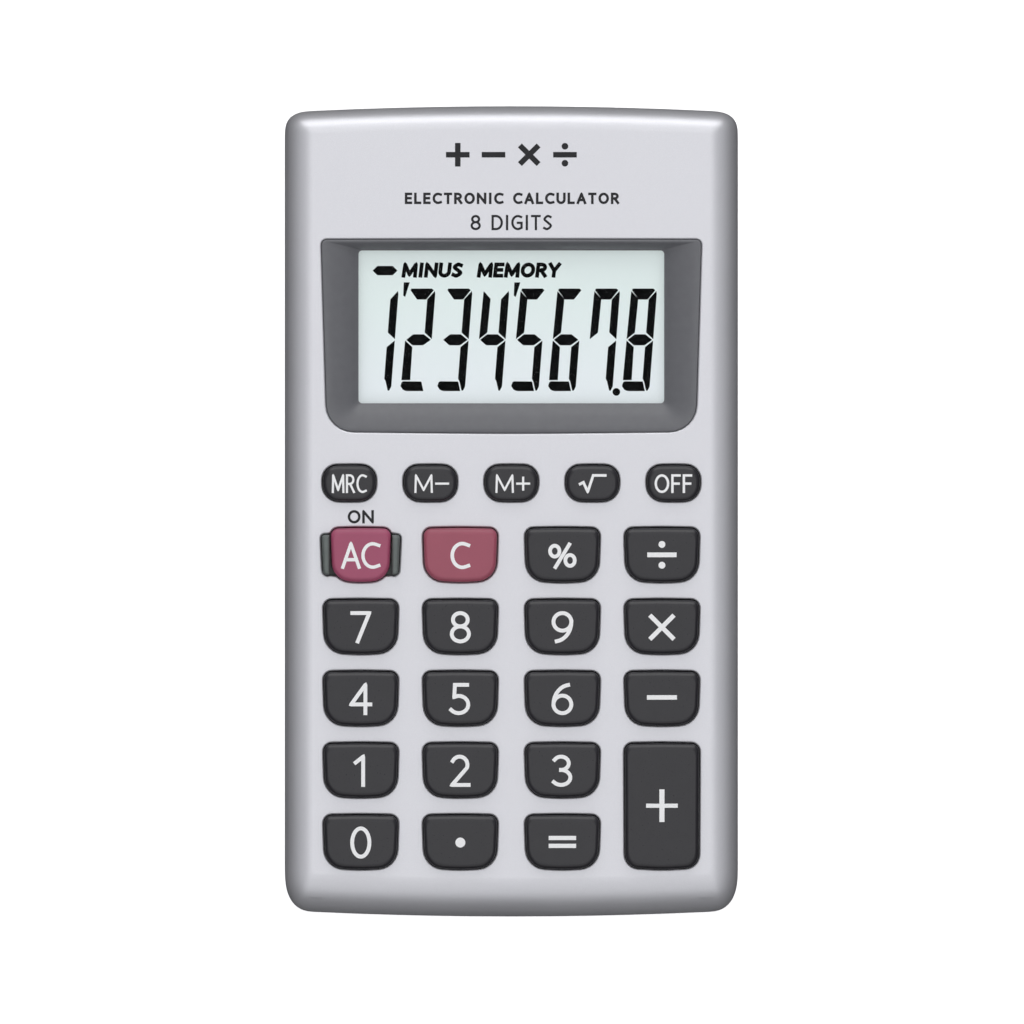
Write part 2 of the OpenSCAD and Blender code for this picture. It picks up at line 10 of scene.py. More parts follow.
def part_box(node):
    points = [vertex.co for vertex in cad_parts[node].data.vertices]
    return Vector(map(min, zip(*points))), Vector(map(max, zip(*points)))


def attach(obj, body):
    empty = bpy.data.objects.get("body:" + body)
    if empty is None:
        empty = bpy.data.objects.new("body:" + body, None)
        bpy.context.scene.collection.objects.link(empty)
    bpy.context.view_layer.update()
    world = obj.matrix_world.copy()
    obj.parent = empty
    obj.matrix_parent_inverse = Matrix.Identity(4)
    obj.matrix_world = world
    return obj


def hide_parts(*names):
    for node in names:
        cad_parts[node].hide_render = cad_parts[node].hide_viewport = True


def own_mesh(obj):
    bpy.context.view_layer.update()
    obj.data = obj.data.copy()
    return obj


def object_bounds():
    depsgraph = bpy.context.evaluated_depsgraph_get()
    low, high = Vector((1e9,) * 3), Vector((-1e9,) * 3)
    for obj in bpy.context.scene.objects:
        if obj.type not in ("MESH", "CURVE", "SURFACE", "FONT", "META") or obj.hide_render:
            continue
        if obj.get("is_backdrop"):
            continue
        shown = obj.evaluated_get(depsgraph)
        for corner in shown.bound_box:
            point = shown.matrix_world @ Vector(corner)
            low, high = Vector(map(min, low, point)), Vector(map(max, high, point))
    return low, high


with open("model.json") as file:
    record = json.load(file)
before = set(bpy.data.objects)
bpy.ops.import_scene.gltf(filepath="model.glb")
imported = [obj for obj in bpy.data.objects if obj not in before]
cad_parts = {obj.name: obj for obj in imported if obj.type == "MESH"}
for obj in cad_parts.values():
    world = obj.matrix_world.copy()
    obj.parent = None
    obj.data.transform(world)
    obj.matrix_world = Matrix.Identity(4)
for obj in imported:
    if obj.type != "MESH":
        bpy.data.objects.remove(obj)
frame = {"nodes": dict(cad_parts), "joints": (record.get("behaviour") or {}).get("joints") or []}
cad_low, cad_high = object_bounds()

# ---- Front shell -----------------------------------------------------------------
# The silver top half of the case: one moulding, 1.8 mm thick, with rolled edges, a hole
# for each key and a large one for the display frame. It is sprayed with a fine metallic
# lacquer, and drops over the rear shell's lip.

WIDTH, LENGTH = 71.0, 127.0
SIDE_ROLL = 4.6
ENDS = {1: {"roll": 3.8, "power": 3.0}, -1: {"roll": 6.4, "power": 2.6}}
END_BOW = 0.95
FACE_HEIGHT = 15.2
PLATE = 1.8
SHELL_DEPTH = 7.0
PRESS = Vector(frame["joints"][0]["axis"])
SLOPE = math.atan2(PRESS.y, -PRESS.z)
UP = -PRESS


def on_face(x, y, z=0.0):
    """A place in millimetres: across, along, and out of the sloping face."""
    sine, cosine = math.sin(SLOPE), math.cos(SLOPE)
    return Vector((x, y * cosine - z * sine, FACE_HEIGHT + y * sine + z * cosine))


def on_shell(x, y, z=0.0):
    """The same, but with the case's ends square to the table."""
    height = FACE_HEIGHT + y * math.tan(SLOPE) + z / math.cos(SLOPE)
    return Vector((x, y, min(height, 1000 * cad_high.z)))


def laid(outline, z, x=0.0, y=0.0):
    """An outline at one height over the face, moved across and along."""
    return [on_face(x + p[0], y + p[1], z) for p in outline]


def added(name, data):
    """A new object in the scene."""
    made = bpy.data.objects.new(name, data)
    bpy.context.scene.collection.objects.link(made)
    return made


def corner_arc(a, b, c, radius, steps):
    """The arc that rounds corner b of the path a, b, c."""
    u, v = (a - b).normalized(), (c - b).normalized()
    half = math.acos(max(-1, min(1, u.dot(v)))) / 2
    centre = b + (u + v).normalized() * radius / math.sin(half)
    start = b + u * radius / math.tan(half) - centre
    end = b + v * radius / math.tan(half) - centre
    first = math.atan2(start.y, start.x)
    turn = (math.atan2(end.y, end.x) - first + 3 * math.pi) % (2 * math.pi) - math.pi
    angles = [first + turn * i / steps for i in range(steps + 1)]
    return [centre + radius * Vector((math.cos(a), math.sin(a))) for a in angles]


def rounded(points, radii, steps=6):
    points = [Vector(p) for p in points]
    n = len(points)
    return [
        p
        for i in range(n)
        for p in corner_arc(points[i - 1], points[i], points[(i + 1) % n], radii[i], steps)
    ]


def shield(w, h, top_r, low_r, taper, bow, crown):
    """Small upper corners, larger lower ones, sides that draw in and bowed ends."""
    return rounded(
        [(-w / 2 + taper, -h / 2 + bow), (0, -h / 2), (w / 2 - taper, -h / 2 + bow),
         (w / 2, h / 2 - crown), (0, h / 2), (-w / 2, h / 2 - crown)],
        [low_r, w * w / (14 * bow), low_r, top_r, w * w / (14 * crown), top_r],
    )


CAP_W, CAP_H, CAP_GAP = 11.6, 8.5, 0.14
ROW_PITCH = 11.27
COLUMNS = (-23.6, -8.0, 8.0, 23.6)
ROWS = [-6.84 - ROW_PITCH * j for j in range(5)]
SMALL_ROW, SMALL_PITCH, SMALL_W, SMALL_H = 4.43, 12.7, 8.35, 5.6
GUARDED_W, GUARD_W, GUARD_H = 9.5, 12.4, 6.4
KEYS = {
    "key_" + label: ((i - 2) * SMALL_PITCH, SMALL_ROW, "small")
    for i, label in enumerate(("mrc", "m_minus", "m_plus", "sqrt", "off"))
}
for row, labels in zip(ROWS, (
    ("ac", "c", "percent", "divide"), ("7", "8", "9", "multiply"), ("4", "5", "6", "minus"),
    ("1", "2", "3"), ("0", "point", "equals"),
)):
    for column, label in zip(COLUMNS, labels):
        KEYS["key_" + label] = (column, row, "guarded" if label == "ac" else "large")
KEYS["key_plus"] = (COLUMNS[3], (ROWS[3] + ROWS[4]) / 2, "tall")


def key_outline(kind, g):
    if kind == "small":
        return shield(SMALL_W + 2 * g, SMALL_H + 2 * g, 2.2 + g, 2.5 + g, 0.15, 0.12, 0.08)
    w = (GUARDED_W if kind == "guarded" else CAP_W) + 2 * g
    h = (CAP_H + ROW_PITCH if kind == "tall" else CAP_H) + 2 * g
    low_r, taper = (2.1, 0.1) if kind == "tall" else (3.0, 0.3)
    return shield(w, h, 1.2 + g, low_r + g, taper, 0.35, 0.12)


def guard_outline(g):
    return shield(GUARD_W + 2 * g, GUARD_H + 2 * g, 0.5 + g, 0.7 + g, 0.35, 0.05, 0.05)


def reach(outline, angle):
    """How far an outline round the origin goes in one direction."""
    d = Vector((math.cos(angle), math.sin(angle)))
    best = 0
    for i, a in enumerate(outline):
        b = outline[(i + 1) % len(outline)]
        side = d.x * (b.y - a.y) - d.y * (b.x - a.x)
        if abs(side) > 1e-12:
            t = (a.x * (b.y - a.y) - a.y * (b.x - a.x)) / side
            s = (a.x * d.y - a.y * d.x) / side
            if t > 0 and -1e-9 <= s <= 1 + 1e-9:
                best = max(best, t)
    return best


def hole_outline(kind, g):
    """A key's hole. The power key shares its hole with its guard."""
    key = key_outline(kind, CAP_GAP + g)
    if kind != "guarded":
        return key
    guard = guard_outline(CAP_GAP + g)
    angles = [2 * math.pi * i / 120 for i in range(120)]
    return [
        max(reach(key, a), reach(guard, a)) * Vector((math.cos(a), math.sin(a))) for a in angles
    ]


BEZEL_W, BEZEL_TOP, BEZEL_LOW = 59.7, 42.8, 12.15
BEZEL_H, BEZEL_Y = BEZEL_TOP - BEZEL_LOW, (BEZEL_TOP + BEZEL_LOW) / 2


def bezel_outline(g):
    return shield(BEZEL_W + 2 * g, BEZEL_H + 2 * g, 0.9 + g, 4.4 + g, 0.9, 0.3, 0.05)


def winding(p, loop):
    """How many times the closed loop goes round the point."""
    turns = 0
    for i, a in enumerate(loop):
        b = loop[i - 1]
        if (a.y > p.y) != (b.y > p.y) and p.x < (b.x - a.x) * (p.y - a.y) / (b.y - a.y) + a.x:
            turns += 1 if b.y > a.y else -1
    return turns


def filled(outlines, wanted, tolerance):
    """Fills outlines with triangles, and keeps those whose middle is wanted. Returns the corners,
    the triangles and where each corner comes from."""
    edges, at = [], 0
    for o in outlines:
        edges += [(at + i, at + (i + 1) % len(o)) for i in range(len(o))]
        at += len(o)
    flat = [p for o in outlines for p in o]
    placed, _, triangles, origin, _, _ = delaunay_2d_cdt(flat, edges, [], 0, tolerance)
    middles = [sum((placed[i] for i in t), Vector((0, 0))) / 3 for t in triangles]
    return placed, [tuple(t) for t, middle in zip(triangles, middles) if wanted(middle)], origin


class Form:
    """One piece's surface, gathered in millimetres in the table's frame."""

    def __init__(self):
        self.points, self.faces, self.level = [], [], {}

    def ring(self, points):
        start = len(self.points)
        self.points += [Vector(p) for p in points]
        return list(range(start, len(self.points)))

    def join(self, a, b):
        n = len(a)
        self.faces += [(a[i], a[(i + 1) % n], b[(i + 1) % n], b[i]) for i in range(n)]

    def loft(self, rings, first=False, last=False):
        ids = [self.ring(r) for r in rings]
        for a, b in zip(ids, ids[1:]):
            self.join(a, b)
        if first:
            self.faces.append(tuple(reversed(ids[0])))
        if last:
            self.faces.append(tuple(ids[-1]))
        return ids

    def solid(self, rings):
        return self.loft(rings, first=True, last=True)

    def crown(self, ring, centre):
        """Closes a ring with a fan of triangles to one point."""
        tip = self.ring([centre])[0]
        self.faces += [(a, b, tip) for a, b in zip(ring, ring[1:] + ring[:1])]

    def plate(self, outer, holes, normal=None):
        """Fills from the outer loop to the holes in it, as seen from above."""
        ids = [i for loop in [outer] + holes for i in loop]
        outlines = [[self.points[i].to_2d() for i in loop] for loop in [outer] + holes]
        boxes = [
            (min(p.x for p in o), max(p.x for p in o), min(p.y for p in o), max(p.y for p in o))
            for o in outlines
        ]

        def wanted(p):
            within = [
                b[0] < p.x < b[1] and b[2] < p.y < b[3] and winding(p, o) != 0
                for o, b in zip(outlines, boxes)
            ]
            return within[0] and not any(within[1:])

        _, triangles, origin = filled(outlines, wanted, 1e-7)
        self.faces += [tuple(ids[origin[i][0]] for i in t) for t in triangles]
        if normal:
            self.level.update((i, normal) for i in ids)

    def piece(self, name, look, body, slot=None, nodes=(), crease=35):
        """The finished object. Its faces point outwards and its creases are sharp."""
        mesh = bpy.data.meshes.new(name)
        mesh.from_pydata([p * 0.001 for p in self.points], [], self.faces)
        shape = bmesh.new()
        shape.from_mesh(mesh)
        bmesh.ops.recalc_face_normals(shape, faces=shape.faces)
        shape.to_mesh(mesh)
        shape.free()
        mesh.shade_smooth()
        mesh.set_sharp_from_angle(angle=math.radians(crease))
        if self.level:
            none = Vector((0, 0, 0))
            mesh.normals_split_custom_set_from_vertices(
                [self.level.get(i, none) for i in range(len(self.points))]
            )
        mesh.materials.append(look.material)
        made = added(name, mesh)
        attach(made, body)
        if nodes:
            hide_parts(*nodes)
        return made


class Value:
    """A shader socket that takes part in Python arithmetic."""

    def __init__(self, look, socket):
        self.look, self.socket = look, socket

    def math(self, operation, *others):
        inputs = dict(enumerate((self, *others)))
        return self.look.node("ShaderNodeMath", {"operation": operation}, inputs)

    def __add__(self, other):
        return self.math("ADD", other)

    def __sub__(self, other):
        return self.math("SUBTRACT", other)

    def __mul__(self, other):
        return self.math("MULTIPLY", other)

    def __truediv__(self, other):
        return self.math("DIVIDE", other)

    def __pow__(self, other):
        return self.math("POWER", other)

    def __rsub__(self, number):
        inputs = {0: number, 1: self}
        return self.look.node("ShaderNodeMath", {"operation": "SUBTRACT"}, inputs)

    __radd__, __rmul__ = __add__, __mul__

    def clamp(self):
        return self.math("MINIMUM", 1.0).math("MAXIMUM", 0.0)

    def over(self, edge, width):
        """0 below the edge and 1 above it, with a soft step between."""
        return ((self - (edge - width / 2)) / width).clamp()


class Wiring:
    """A node tree, and the ways that its nodes are added and joined."""

    def __init__(self, tree):
        self.tree = tree

    def feed(self, socket, value):
        if isinstance(value, Value):
            self.tree.links.new(value.socket, socket)
        elif isinstance(value, (tuple, list)) and socket.type == "RGBA":
            socket.default_value = (*value[:3], 1.0)
        else:
            socket.default_value = value

    def node(self, kind, settings=None, inputs=None, output=0):
        """Any node: its type, its settings, and its sockets' values or links."""
        made = self.tree.nodes.new(kind)
        for name, value in (settings or {}).items():
            if name == "stops":
                ramp = made.color_ramp.elements
                while len(ramp) < len(value):
                    ramp.new(0.5)
                for element, (place, tone) in zip(ramp, value):
                    element.position, element.color = place, (*tone, 1.0)
            else:
                setattr(made, name, value)
        for name, value in (inputs or {}).items():
            self.feed(made.inputs[name], value)
        return Value(self, made.outputs[output])


class Look(Wiring):
    """One finish. Its shader's plain values are set here and its varying ones by feed."""

    def __init__(self, name, **plain):
        self.material = bpy.data.materials.new(name)
        self.material.use_nodes = True
        super().__init__(self.material.node_tree)
        self.shader = self.tree.nodes["Principled BSDF"]
        for name, value in plain.items():
            title = name.replace("_", " ").title().replace("Ior", "IOR")
            self.feed(self.shader.inputs[title], value)

    def place(self):
        """Where a point of the piece is, in metres, at rest."""
        return self.node("ShaderNodeTexCoord", output=3)

    def axis(self, number):
        return self.node("ShaderNodeSeparateXYZ", None, {0: self.place()}, output=number)

    def noise(self, scale, detail=2.0, roughness=0.5, stretch=None):
        """Smooth random values round a half. Scale is in features to the metre."""
        at = self.place()
        if stretch:
            at = self.node("ShaderNodeVectorMath", {"operation": "MULTIPLY"}, {0: at, 1: stretch})
        return self.node(
            "ShaderNodeTexNoise", None,
            {"Vector": at, "Scale": scale, "Detail": detail, "Roughness": roughness},
        )

    def mix(self, factor, a, b):
        return self.node("ShaderNodeMix", {"data_type": "RGBA"}, {0: factor, 6: a, 7: b}, output=2)

    def color(self, value):
        self.feed(self.shader.inputs["Base Color"], value)

    def rough(self, value):
        self.feed(self.shader.inputs["Roughness"], value)

    def bump(self, height, distance, strength=1.0):
        inputs = {"Strength": strength, "Distance": distance, "Height": height}
        self.feed(self.shader.inputs["Normal"], self.node("ShaderNodeBump", None, inputs))

    def layers(self, tones, gloss, relief=None):
        """Patches of two tones, an uneven gloss and a fine relief. Each starts with its noise's
        scale and detail. Gloss goes on with a base and a gain, relief with what bump takes."""
        self.color(self.mix(self.noise(*tones[:2]), *tones[2:]))
        self.rough(gloss[2] + gloss[3] * self.noise(*gloss[:2]))
        if relief:
            self.bump(self.noise(*relief[:2]), *relief[2:])


# Metallic lacquer: bright flakes in a pale grey, rubbed a little smoother in patches.
lacquer = Look("silver_lacquer", metallic=0.55, coat_weight=0.12, coat_roughness=0.25)
flake = lacquer.noise(26000, 1.0).over(0.56, 0.18)
cloud = lacquer.noise(90, 3.0)
lacquer.color(
    lacquer.mix(
        flake * 0.5,
        lacquer.mix(cloud, (0.60, 0.60, 0.635), (0.64, 0.64, 0.67)),
        (0.80, 0.80, 0.83),
    )
)
lacquer.rough(0.40 + 0.06 * cloud - 0.05 * flake)
lacquer.bump(lacquer.noise(16000, 2.0) + 0.4 * lacquer.noise(2600, 2.0), 0.000012, 0.5)


def rim(share, less=0.0):
    """Points round the plan. share is how far out across the roll, from 0 to 1; less takes
    that much off every radius. Gives (x, y, drop) with the roll's drop below the face."""
    found = []
    core_x = WIDTH / 2 - SIDE_ROLL
    sides, corner_steps, end_steps = (0.0, 0.35, 0.7), 12, 10

    def add(x, y, u, v, end, along):
        roll = ENDS[end]["roll"]
        radius = (SIDE_ROLL * u * u + roll * v * v) / (u * u + v * v) - less
        px, py = x + u * (SIDE_ROLL - less) * share, y + v * (roll - less) * share
        py -= end * END_BOW * (2 * px / WIDTH) ** 2 * along
        found.append((px, py, radius * (1 - math.sqrt(max(0, 1 - share * share)))))

    for quarter, (sx, end) in enumerate(((1, 1), (-1, 1), (-1, -1), (1, -1))):
        power, core_y = ENDS[end]["power"], end * (LENGTH / 2 - ENDS[end]["roll"])
        if quarter == 0:
            for t in sides:
                add(core_x, core_y * t, 1, 0, 1, t)
        if quarter == 2:
            for t in reversed(sides[1:]):
                add(-core_x, (LENGTH / 2 - ENDS[1]["roll"]) * t, -1, 0, 1, t)
            for t in sides:
                add(-core_x, core_y * t, -1, 0, -1, t)
        for i in range(corner_steps + 1):
            a = math.radians(90 * quarter + 90 / corner_steps * i)
            u = math.copysign(abs(math.cos(a)) ** (2 / power), math.cos(a))
            v = math.copysign(abs(math.sin(a)) ** (2 / power), math.sin(a))
            u, v = (0.0 if abs(u) < 1e-6 else u), (0.0 if abs(v) < 1e-6 else v)
            add(sx * core_x, core_y, u, v, end, 1)
        if quarter in (0, 2):
            for i in range(1, end_steps):
                add(sx * core_x * (1 - 2 * i / end_steps), core_y, 0, end, end, 1)
        if quarter == 3:
            for t in reversed(sides[1:]):
                add(core_x, core_y * t, 1, 0, -1, t)
    return found


shell = Form()
roll_steps = [math.radians(a) for a in (2, 5, 9, 14, 20, 27, 35, 44, 53, 62, 71, 80, 90)]
outer = [[on_shell(x, y, -drop) for x, y, drop in rim(math.sin(a))] for a in roll_steps]
for less, depth in ((0.0, SHELL_DEPTH - 0.12), (0.12, SHELL_DEPTH)):
    outer.append([on_shell(x, y, -depth) for x, y, _ in rim(1.0, less)])
inner = [[on_shell(x, y, -SHELL_DEPTH) for x, y, _ in rim(1.0, PLATE)]]
for a in reversed(roll_steps[::3]):
    inner.append([on_shell(x, y, -PLATE - drop) for x, y, drop in rim(math.sin(a), PLATE)])
rings = shell.loft(outer + inner)
CASE_BOSSES = [(-30.9, 9.3), (30.9, 9.3), (-30.4, -58.6), (30.4, -58.6)]
BOARD_BOSSES = [(-19.05, 9.2), (19.05, 9.2), (0, -12.6), (-15.8, -23.8), (15.8, -23.8), (0, -46.3)]
CASE_BOSS_R, BOARD_BOSS_R, BOARD_BOSS_DEPTH, BORE_R, BORE_END = 2.4, 1.7, 6.0, 1.05, 2.6
BOSSES = [(p, CASE_BOSS_R, SHELL_DEPTH) for p in CASE_BOSSES]
BOSSES += [(p, BOARD_BOSS_R, BOARD_BOSS_DEPTH) for p in BOARD_BOSSES]


def disc(x, y, r, steps=24):
    turns = [2 * math.pi * i / steps for i in range(steps)]
    return [Vector((x + r * math.cos(a), y + r * math.sin(a))) for a in turns]


for (x, y), r, depth in BOSSES:
    tube = [(r, PLATE - 0.3), (r, depth - 0.1), (r - 0.1, depth), (BORE_R + 0.1, depth),
            (BORE_R, depth - 0.1), (BORE_R, BORE_END)]
    shell.solid([laid(disc(x, y, wide), -z) for wide, z in tube])
top_holes, low_holes = [], []
HOLE_EDGE = 0.3
openings = [(x, y, lambda g, k=k: hole_outline(k, g)) for x, y, k in KEYS.values()]
openings.append((0.0, BEZEL_Y, bezel_outline))
for x, y, outline in openings:
    lip = []
    for turn in (0, 30, 60, 90):
        b = math.radians(turn)
        g, z = HOLE_EDGE * (1 - math.sin(b)), -HOLE_EDGE * (1 - math.cos(b))
        lip.append(laid(outline(g), z, x, y))
    lip.append(laid(outline(0), -PLATE, x, y))
    ids = shell.loft(lip)
    top_holes.append(ids[0])
    low_holes.append(ids[-1])
shell.plate(rings[0], top_holes, UP)
shell.plate(rings[-1], low_holes)
shell.piece("front_shell", lacquer, "case", "case_silver", ["front_case"], crease=50)


# ---- Printing on the case ----------------------------------------------------------
# Dark grey ink, pad printed on the lacquer after it is sprayed: a row of arithmetic signs,
# two lines of plain words and the word over the power key. The ink stands a hair proud.


def bow(cx, cy, rx, ry, first, last, steps=14):
    """Points on an ellipse from one angle to another, in degrees."""
    return [
        (
            cx + rx * math.cos(math.radians(first + (last - first) * i / steps)),
            cy + ry * math.sin(math.radians(first + (last - first) * i / steps)),
        )
        for i in range(steps + 1)
    ]


def bend(points, steps=7):
    """A smooth curve through points."""
    found = []
    for i in range(len(points) - 1):
        a, b = points[max(i - 1, 0)], points[i]
        c, d = points[i + 1], points[min(i + 2, len(points) - 1)]
        for k in range(steps + (i == len(points) - 2)):
            t = k / steps
            found.append(tuple(
                0.5 * (2 * q + t * (r - p) + t * t * (2 * p - 5 * q + 4 * r - s)
                       + t ** 3 * (3 * q - p - 3 * r + s))
                for p, q, r, s in zip(a, b, c, d)
            ))
    return found


NINE = [bow(0.5, 0.69, 0.5, 0.31, 0, 360, 28), bow(0.05, 0.69, 0.95, 0.69, 0, -82)]


def trace(*numbers):
    """Points from a row of numbers, two for each."""
    return list(zip(numbers[::2], numbers[1::2]))


# Each sign's width, as a share of its height, and its pen strokes in a box of 1 by 1.
STROKES = {
    "0": (0.66, [bow(0.5, 0.5, 0.5, 0.5, 0, 360, 32)]),
    "1": (0.38, [trace(0, 0.79, 0.9, 1, 0.9, 0)]),
    "2": (0.64, [bow(0.46, 0.71, 0.47, 0.29, 152, -22) + trace(0, 0, 1, 0)]),
    "3": (0.62, [bow(0.42, 0.765, 0.48, 0.235, 148, -90), bow(0.42, 0.265, 0.58, 0.265, 90, -142)]),
    "4": (0.72, [trace(0.74, 0, 0.74, 1, 0, 0.31, 1, 0.31)]),
    "5": (0.62, [trace(0.93, 1, 0.16, 1, 0.12, 0.57) + bow(0.40, 0.305, 0.60, 0.305, 96, -142)]),
    "6": (0.68, [[(1 - x, 1 - y) for x, y in s] for s in NINE]),
    "7": (0.65, [trace(0, 1, 1, 1, 0.32, 0)]),
    "8": (0.66, [bow(0.5, 0.765, 0.43, 0.235, 0, 360, 24),
                 bow(0.5, 0.265, 0.5, 0.265, 0, 360, 24)]),
    "9": (0.68, NINE),
    "A": (0.76, [trace(0, 0, 0.5, 1, 1, 0), trace(0.17, 0.32, 0.83, 0.32)]),
    "C": (0.74, [[(1, 0.93)] + bow(0.62, 0.5, 0.62, 0.5, 72, 288, 20) + [(1, 0.07)]]),
    "D": (0.76, [trace(0, 0, 0, 1) + bow(0.36, 0.5, 0.64, 0.5, 90, -90, 18) + [(0, 0)]]),
    "E": (0.52, [trace(1, 1, 0, 1, 0, 0, 1, 0), trace(0, 0.52, 0.9, 0.52)]),
    "F": (0.50, [trace(1, 1, 0, 1, 0, 0), trace(0, 0.5, 0.88, 0.5)]),
    "G": (0.76, [[(0.95, 0.93)] + bow(0.6, 0.5, 0.6, 0.5, 72, 280, 20)
                 + trace(1, 0.1, 1, 0.48, 0.6, 0.48)]),
    "I": (0.14, [trace(0.5, 0, 0.5, 1)]),
    "L": (0.50, [trace(0, 1, 0, 0, 1, 0)]),
    "M": (0.94, [trace(0, 0, 0.03, 1, 0.5, 0.12, 0.97, 1, 1, 0)]),
    "N": (0.76, [trace(0, 0, 0, 1, 1, 0, 1, 1)]),
    "O": (0.86, [bow(0.5, 0.5, 0.5, 0.5, 0, 360, 32)]),
    "R": (0.62, [trace(0, 0, 0, 1) + bow(0.42, 0.74, 0.5, 0.26, 90, -90, 12) + [(0, 0.48)],
                 trace(0.45, 0.48, 1, 0)]),
    "S": (0.58, [bend(trace(0.92, 0.93, 0.5, 1, 0.06, 0.76, 0.5, 0.52, 0.97, 0.25, 0.46, 0,
                            0.02, 0.08))]),
    "T": (0.62, [trace(0, 1, 1, 1), trace(0.5, 1, 0.5, 0)]),
    "U": (0.72, [trace(0, 1, 0, 0.36) + bow(0.5, 0.36, 0.5, 0.36, 180, 360)[1:-1]
                 + trace(1, 0.36, 1, 1)]),
    "Y": (0.70, [trace(0, 1, 0.5, 0.44, 1, 1), trace(0.5, 0.44, 0.5, 0)]),
    "plus": (1, [trace(0, 0.5, 1, 0.5), trace(0.5, 0, 0.5, 1)]),
    "minus": (1, [trace(0, 0.5, 1, 0.5)]),
    "times": (1, [trace(0, 0, 1, 1), trace(0, 1, 1, 0)]),
    "divide": (1, [trace(0, 0.5, 1, 0.5)]),
    "equals": (1, [trace(0, 0.33, 1, 0.33), trace(0, 0.67, 1, 0.67)]),
    "root": (1.45, [trace(0, 0.48, 0.13, 0.58, 0.30, 0, 0.52, 1, 1, 1)]),
    "percent": (1.12, [bow(0.19, 0.73, 0.19, 0.27, 0, 360, 24),
                       bow(0.81, 0.27, 0.19, 0.27, 0, 360, 24), trace(0.22, -0.06, 0.78, 1.06)]),
}


def ribbon(points, width):
    """The outline of a stroke without sharp turns."""
    closed = (points[0] - points[-1]).length < 1e-4
    if closed:
        points = points[:-1]
    n, left, right = len(points), [], []
    for i, p in enumerate(points):
        a = p - points[i - 1] if i or closed else points[1] - p
        b = points[(i + 1) % n] - p if i < n - 1 or closed else a
        along = a.normalized() + b.normalized()
        side = Vector((-along.y, along.x)) * width / along.length ** 2
        left.append(p + side)
        right.append(p - side)
    if closed:
        left.append(left[0].copy())
        right.append(right[0].copy())
    return left + right[::-1]


SHARP, MITRE = 0.75, 1.42


def pen(points, width):
    """The outlines of one pen stroke: its smooth runs, and a point at each sharp turn. Open
    ends are square, and reach half the stroke's width past the last point."""
    points = [Vector(p) for p in points]
    points = [p for i, p in enumerate(points) if i == 0 or (p - points[i - 1]).length > 1e-5]
    first, last = (points[1] - points[0]).normalized(), (points[-1] - points[-2]).normalized()
    if (points[0] - points[-1]).length > 1e-4 or first.dot(last) < SHARP:
        points[0] = points[0] - first * width / 2
        points[-1] = points[-1] + last * width / 2
    found, run = [], points[:1]
    for i in range(1, len(points)):
        run.append(points[i])
        if i < len(points) - 1:
            a = (points[i] - points[i - 1]).normalized()
            b = (points[i + 1] - points[i]).normalized()
            if a.dot(b) < SHARP:
                found.append(ribbon(run, width))
                out = width / 2 if a.x * b.y < a.y * b.x else -width / 2
                na, nb = Vector((-a.y, a.x)) * out, Vector((-b.y, b.x)) * out
                tip = (na + nb).normalized() * width / 2
                tip *= min(MITRE, 1 / math.sqrt(max((1 + a.dot(b)) / 2, 0.01)))
                p = points[i]
                found.append([p, p + na, p + tip, p + nb])
                run = [p]
    return found + [ribbon(run, width)]


class Ink:
    """Shapes printed on one surface: their outlines are merged, then given a thickness."""

    def __init__(self):
        self.groups = []

    def shape(self, *outlines):
        self.groups.append([[Vector(p) for p in o] for o in outlines])

    def dot(self, x, y, r):
        self.shape([(x + p[0], y + p[1]) for p in bow(0, 0, r, r, 0, 345, 23)])

    def sign(self, name, x, y, height, width, stroke, lean=0.0, weights=None):
        """A sign whose box is centred on x, y."""
        strokes = STROKES[name][1]
        outlines = []
        for number, points in enumerate(strokes):
            thick = stroke if weights is None else weights[number]
            placed = [
                (
                    (p[0] - 0.5) * (width - stroke) + (p[1] - 0.5) * height * lean,
                    (p[1] - 0.5) * (height - stroke),
                )
                for p in points
            ]
            outlines += [[Vector((x, y)) + p for p in o] for o in pen(placed, thick)]
        self.shape(*outlines)

    def words(self, text, x, y, width, height, stroke, space, lean=0.0):
        """Signs in a row, centred on x, y and that wide in all. space is the gap between them."""
        shares = [0.34 if c == " " else STROKES[c][0] for c in text]
        scale = (width - space * (len(text) - 1) - stroke * len(text)) / sum(shares)
        at = x - width / 2
        for c, share in zip(text, shares):
            w = share * scale + stroke
            if c != " ":
                self.sign(c, at + w / 2, y, height, w, stroke, lean)
            at += w + space

    def piece(self, name, look, body, place, low, high, slot=None, nodes=()):
        """place(x, y, z) puts a point of the print in the table's frame."""
        form = Form()
        for outlines in self.groups:
            def printed(p, outlines=outlines):
                return any(winding(p, o) for o in outlines)

            spots, kept, _ = filled(outlines, printed, 1e-5)
            used = sorted({i for t in kept for i in t})
            top = dict(zip(used, form.ring([place(*spots[i], high) for i in used])))
            base = dict(zip(used, form.ring([place(*spots[i], low) for i in used])))
            sides = {(t[i - 1], t[i]) for t in kept for i in range(3)}
            for t in kept:
                form.faces.append(tuple(top[i] for i in t))
                form.faces.append(tuple(base[i] for i in reversed(t)))
            for a, b in sorted(sides):
                if (b, a) not in sides:
                    form.faces.append((top[b], top[a], base[a], base[b]))
        return form.piece(name, look, body, slot, nodes, crease=30)


grey_ink = Look("case_ink", specular_ior_level=0.3)
grey_ink.layers((900, 3.0, (0.008, 0.008, 0.010), (0.018, 0.018, 0.021)),
                (4000, 2.0, 0.45, 0.15), (14000, 2.0, 0.000008, 0.4))

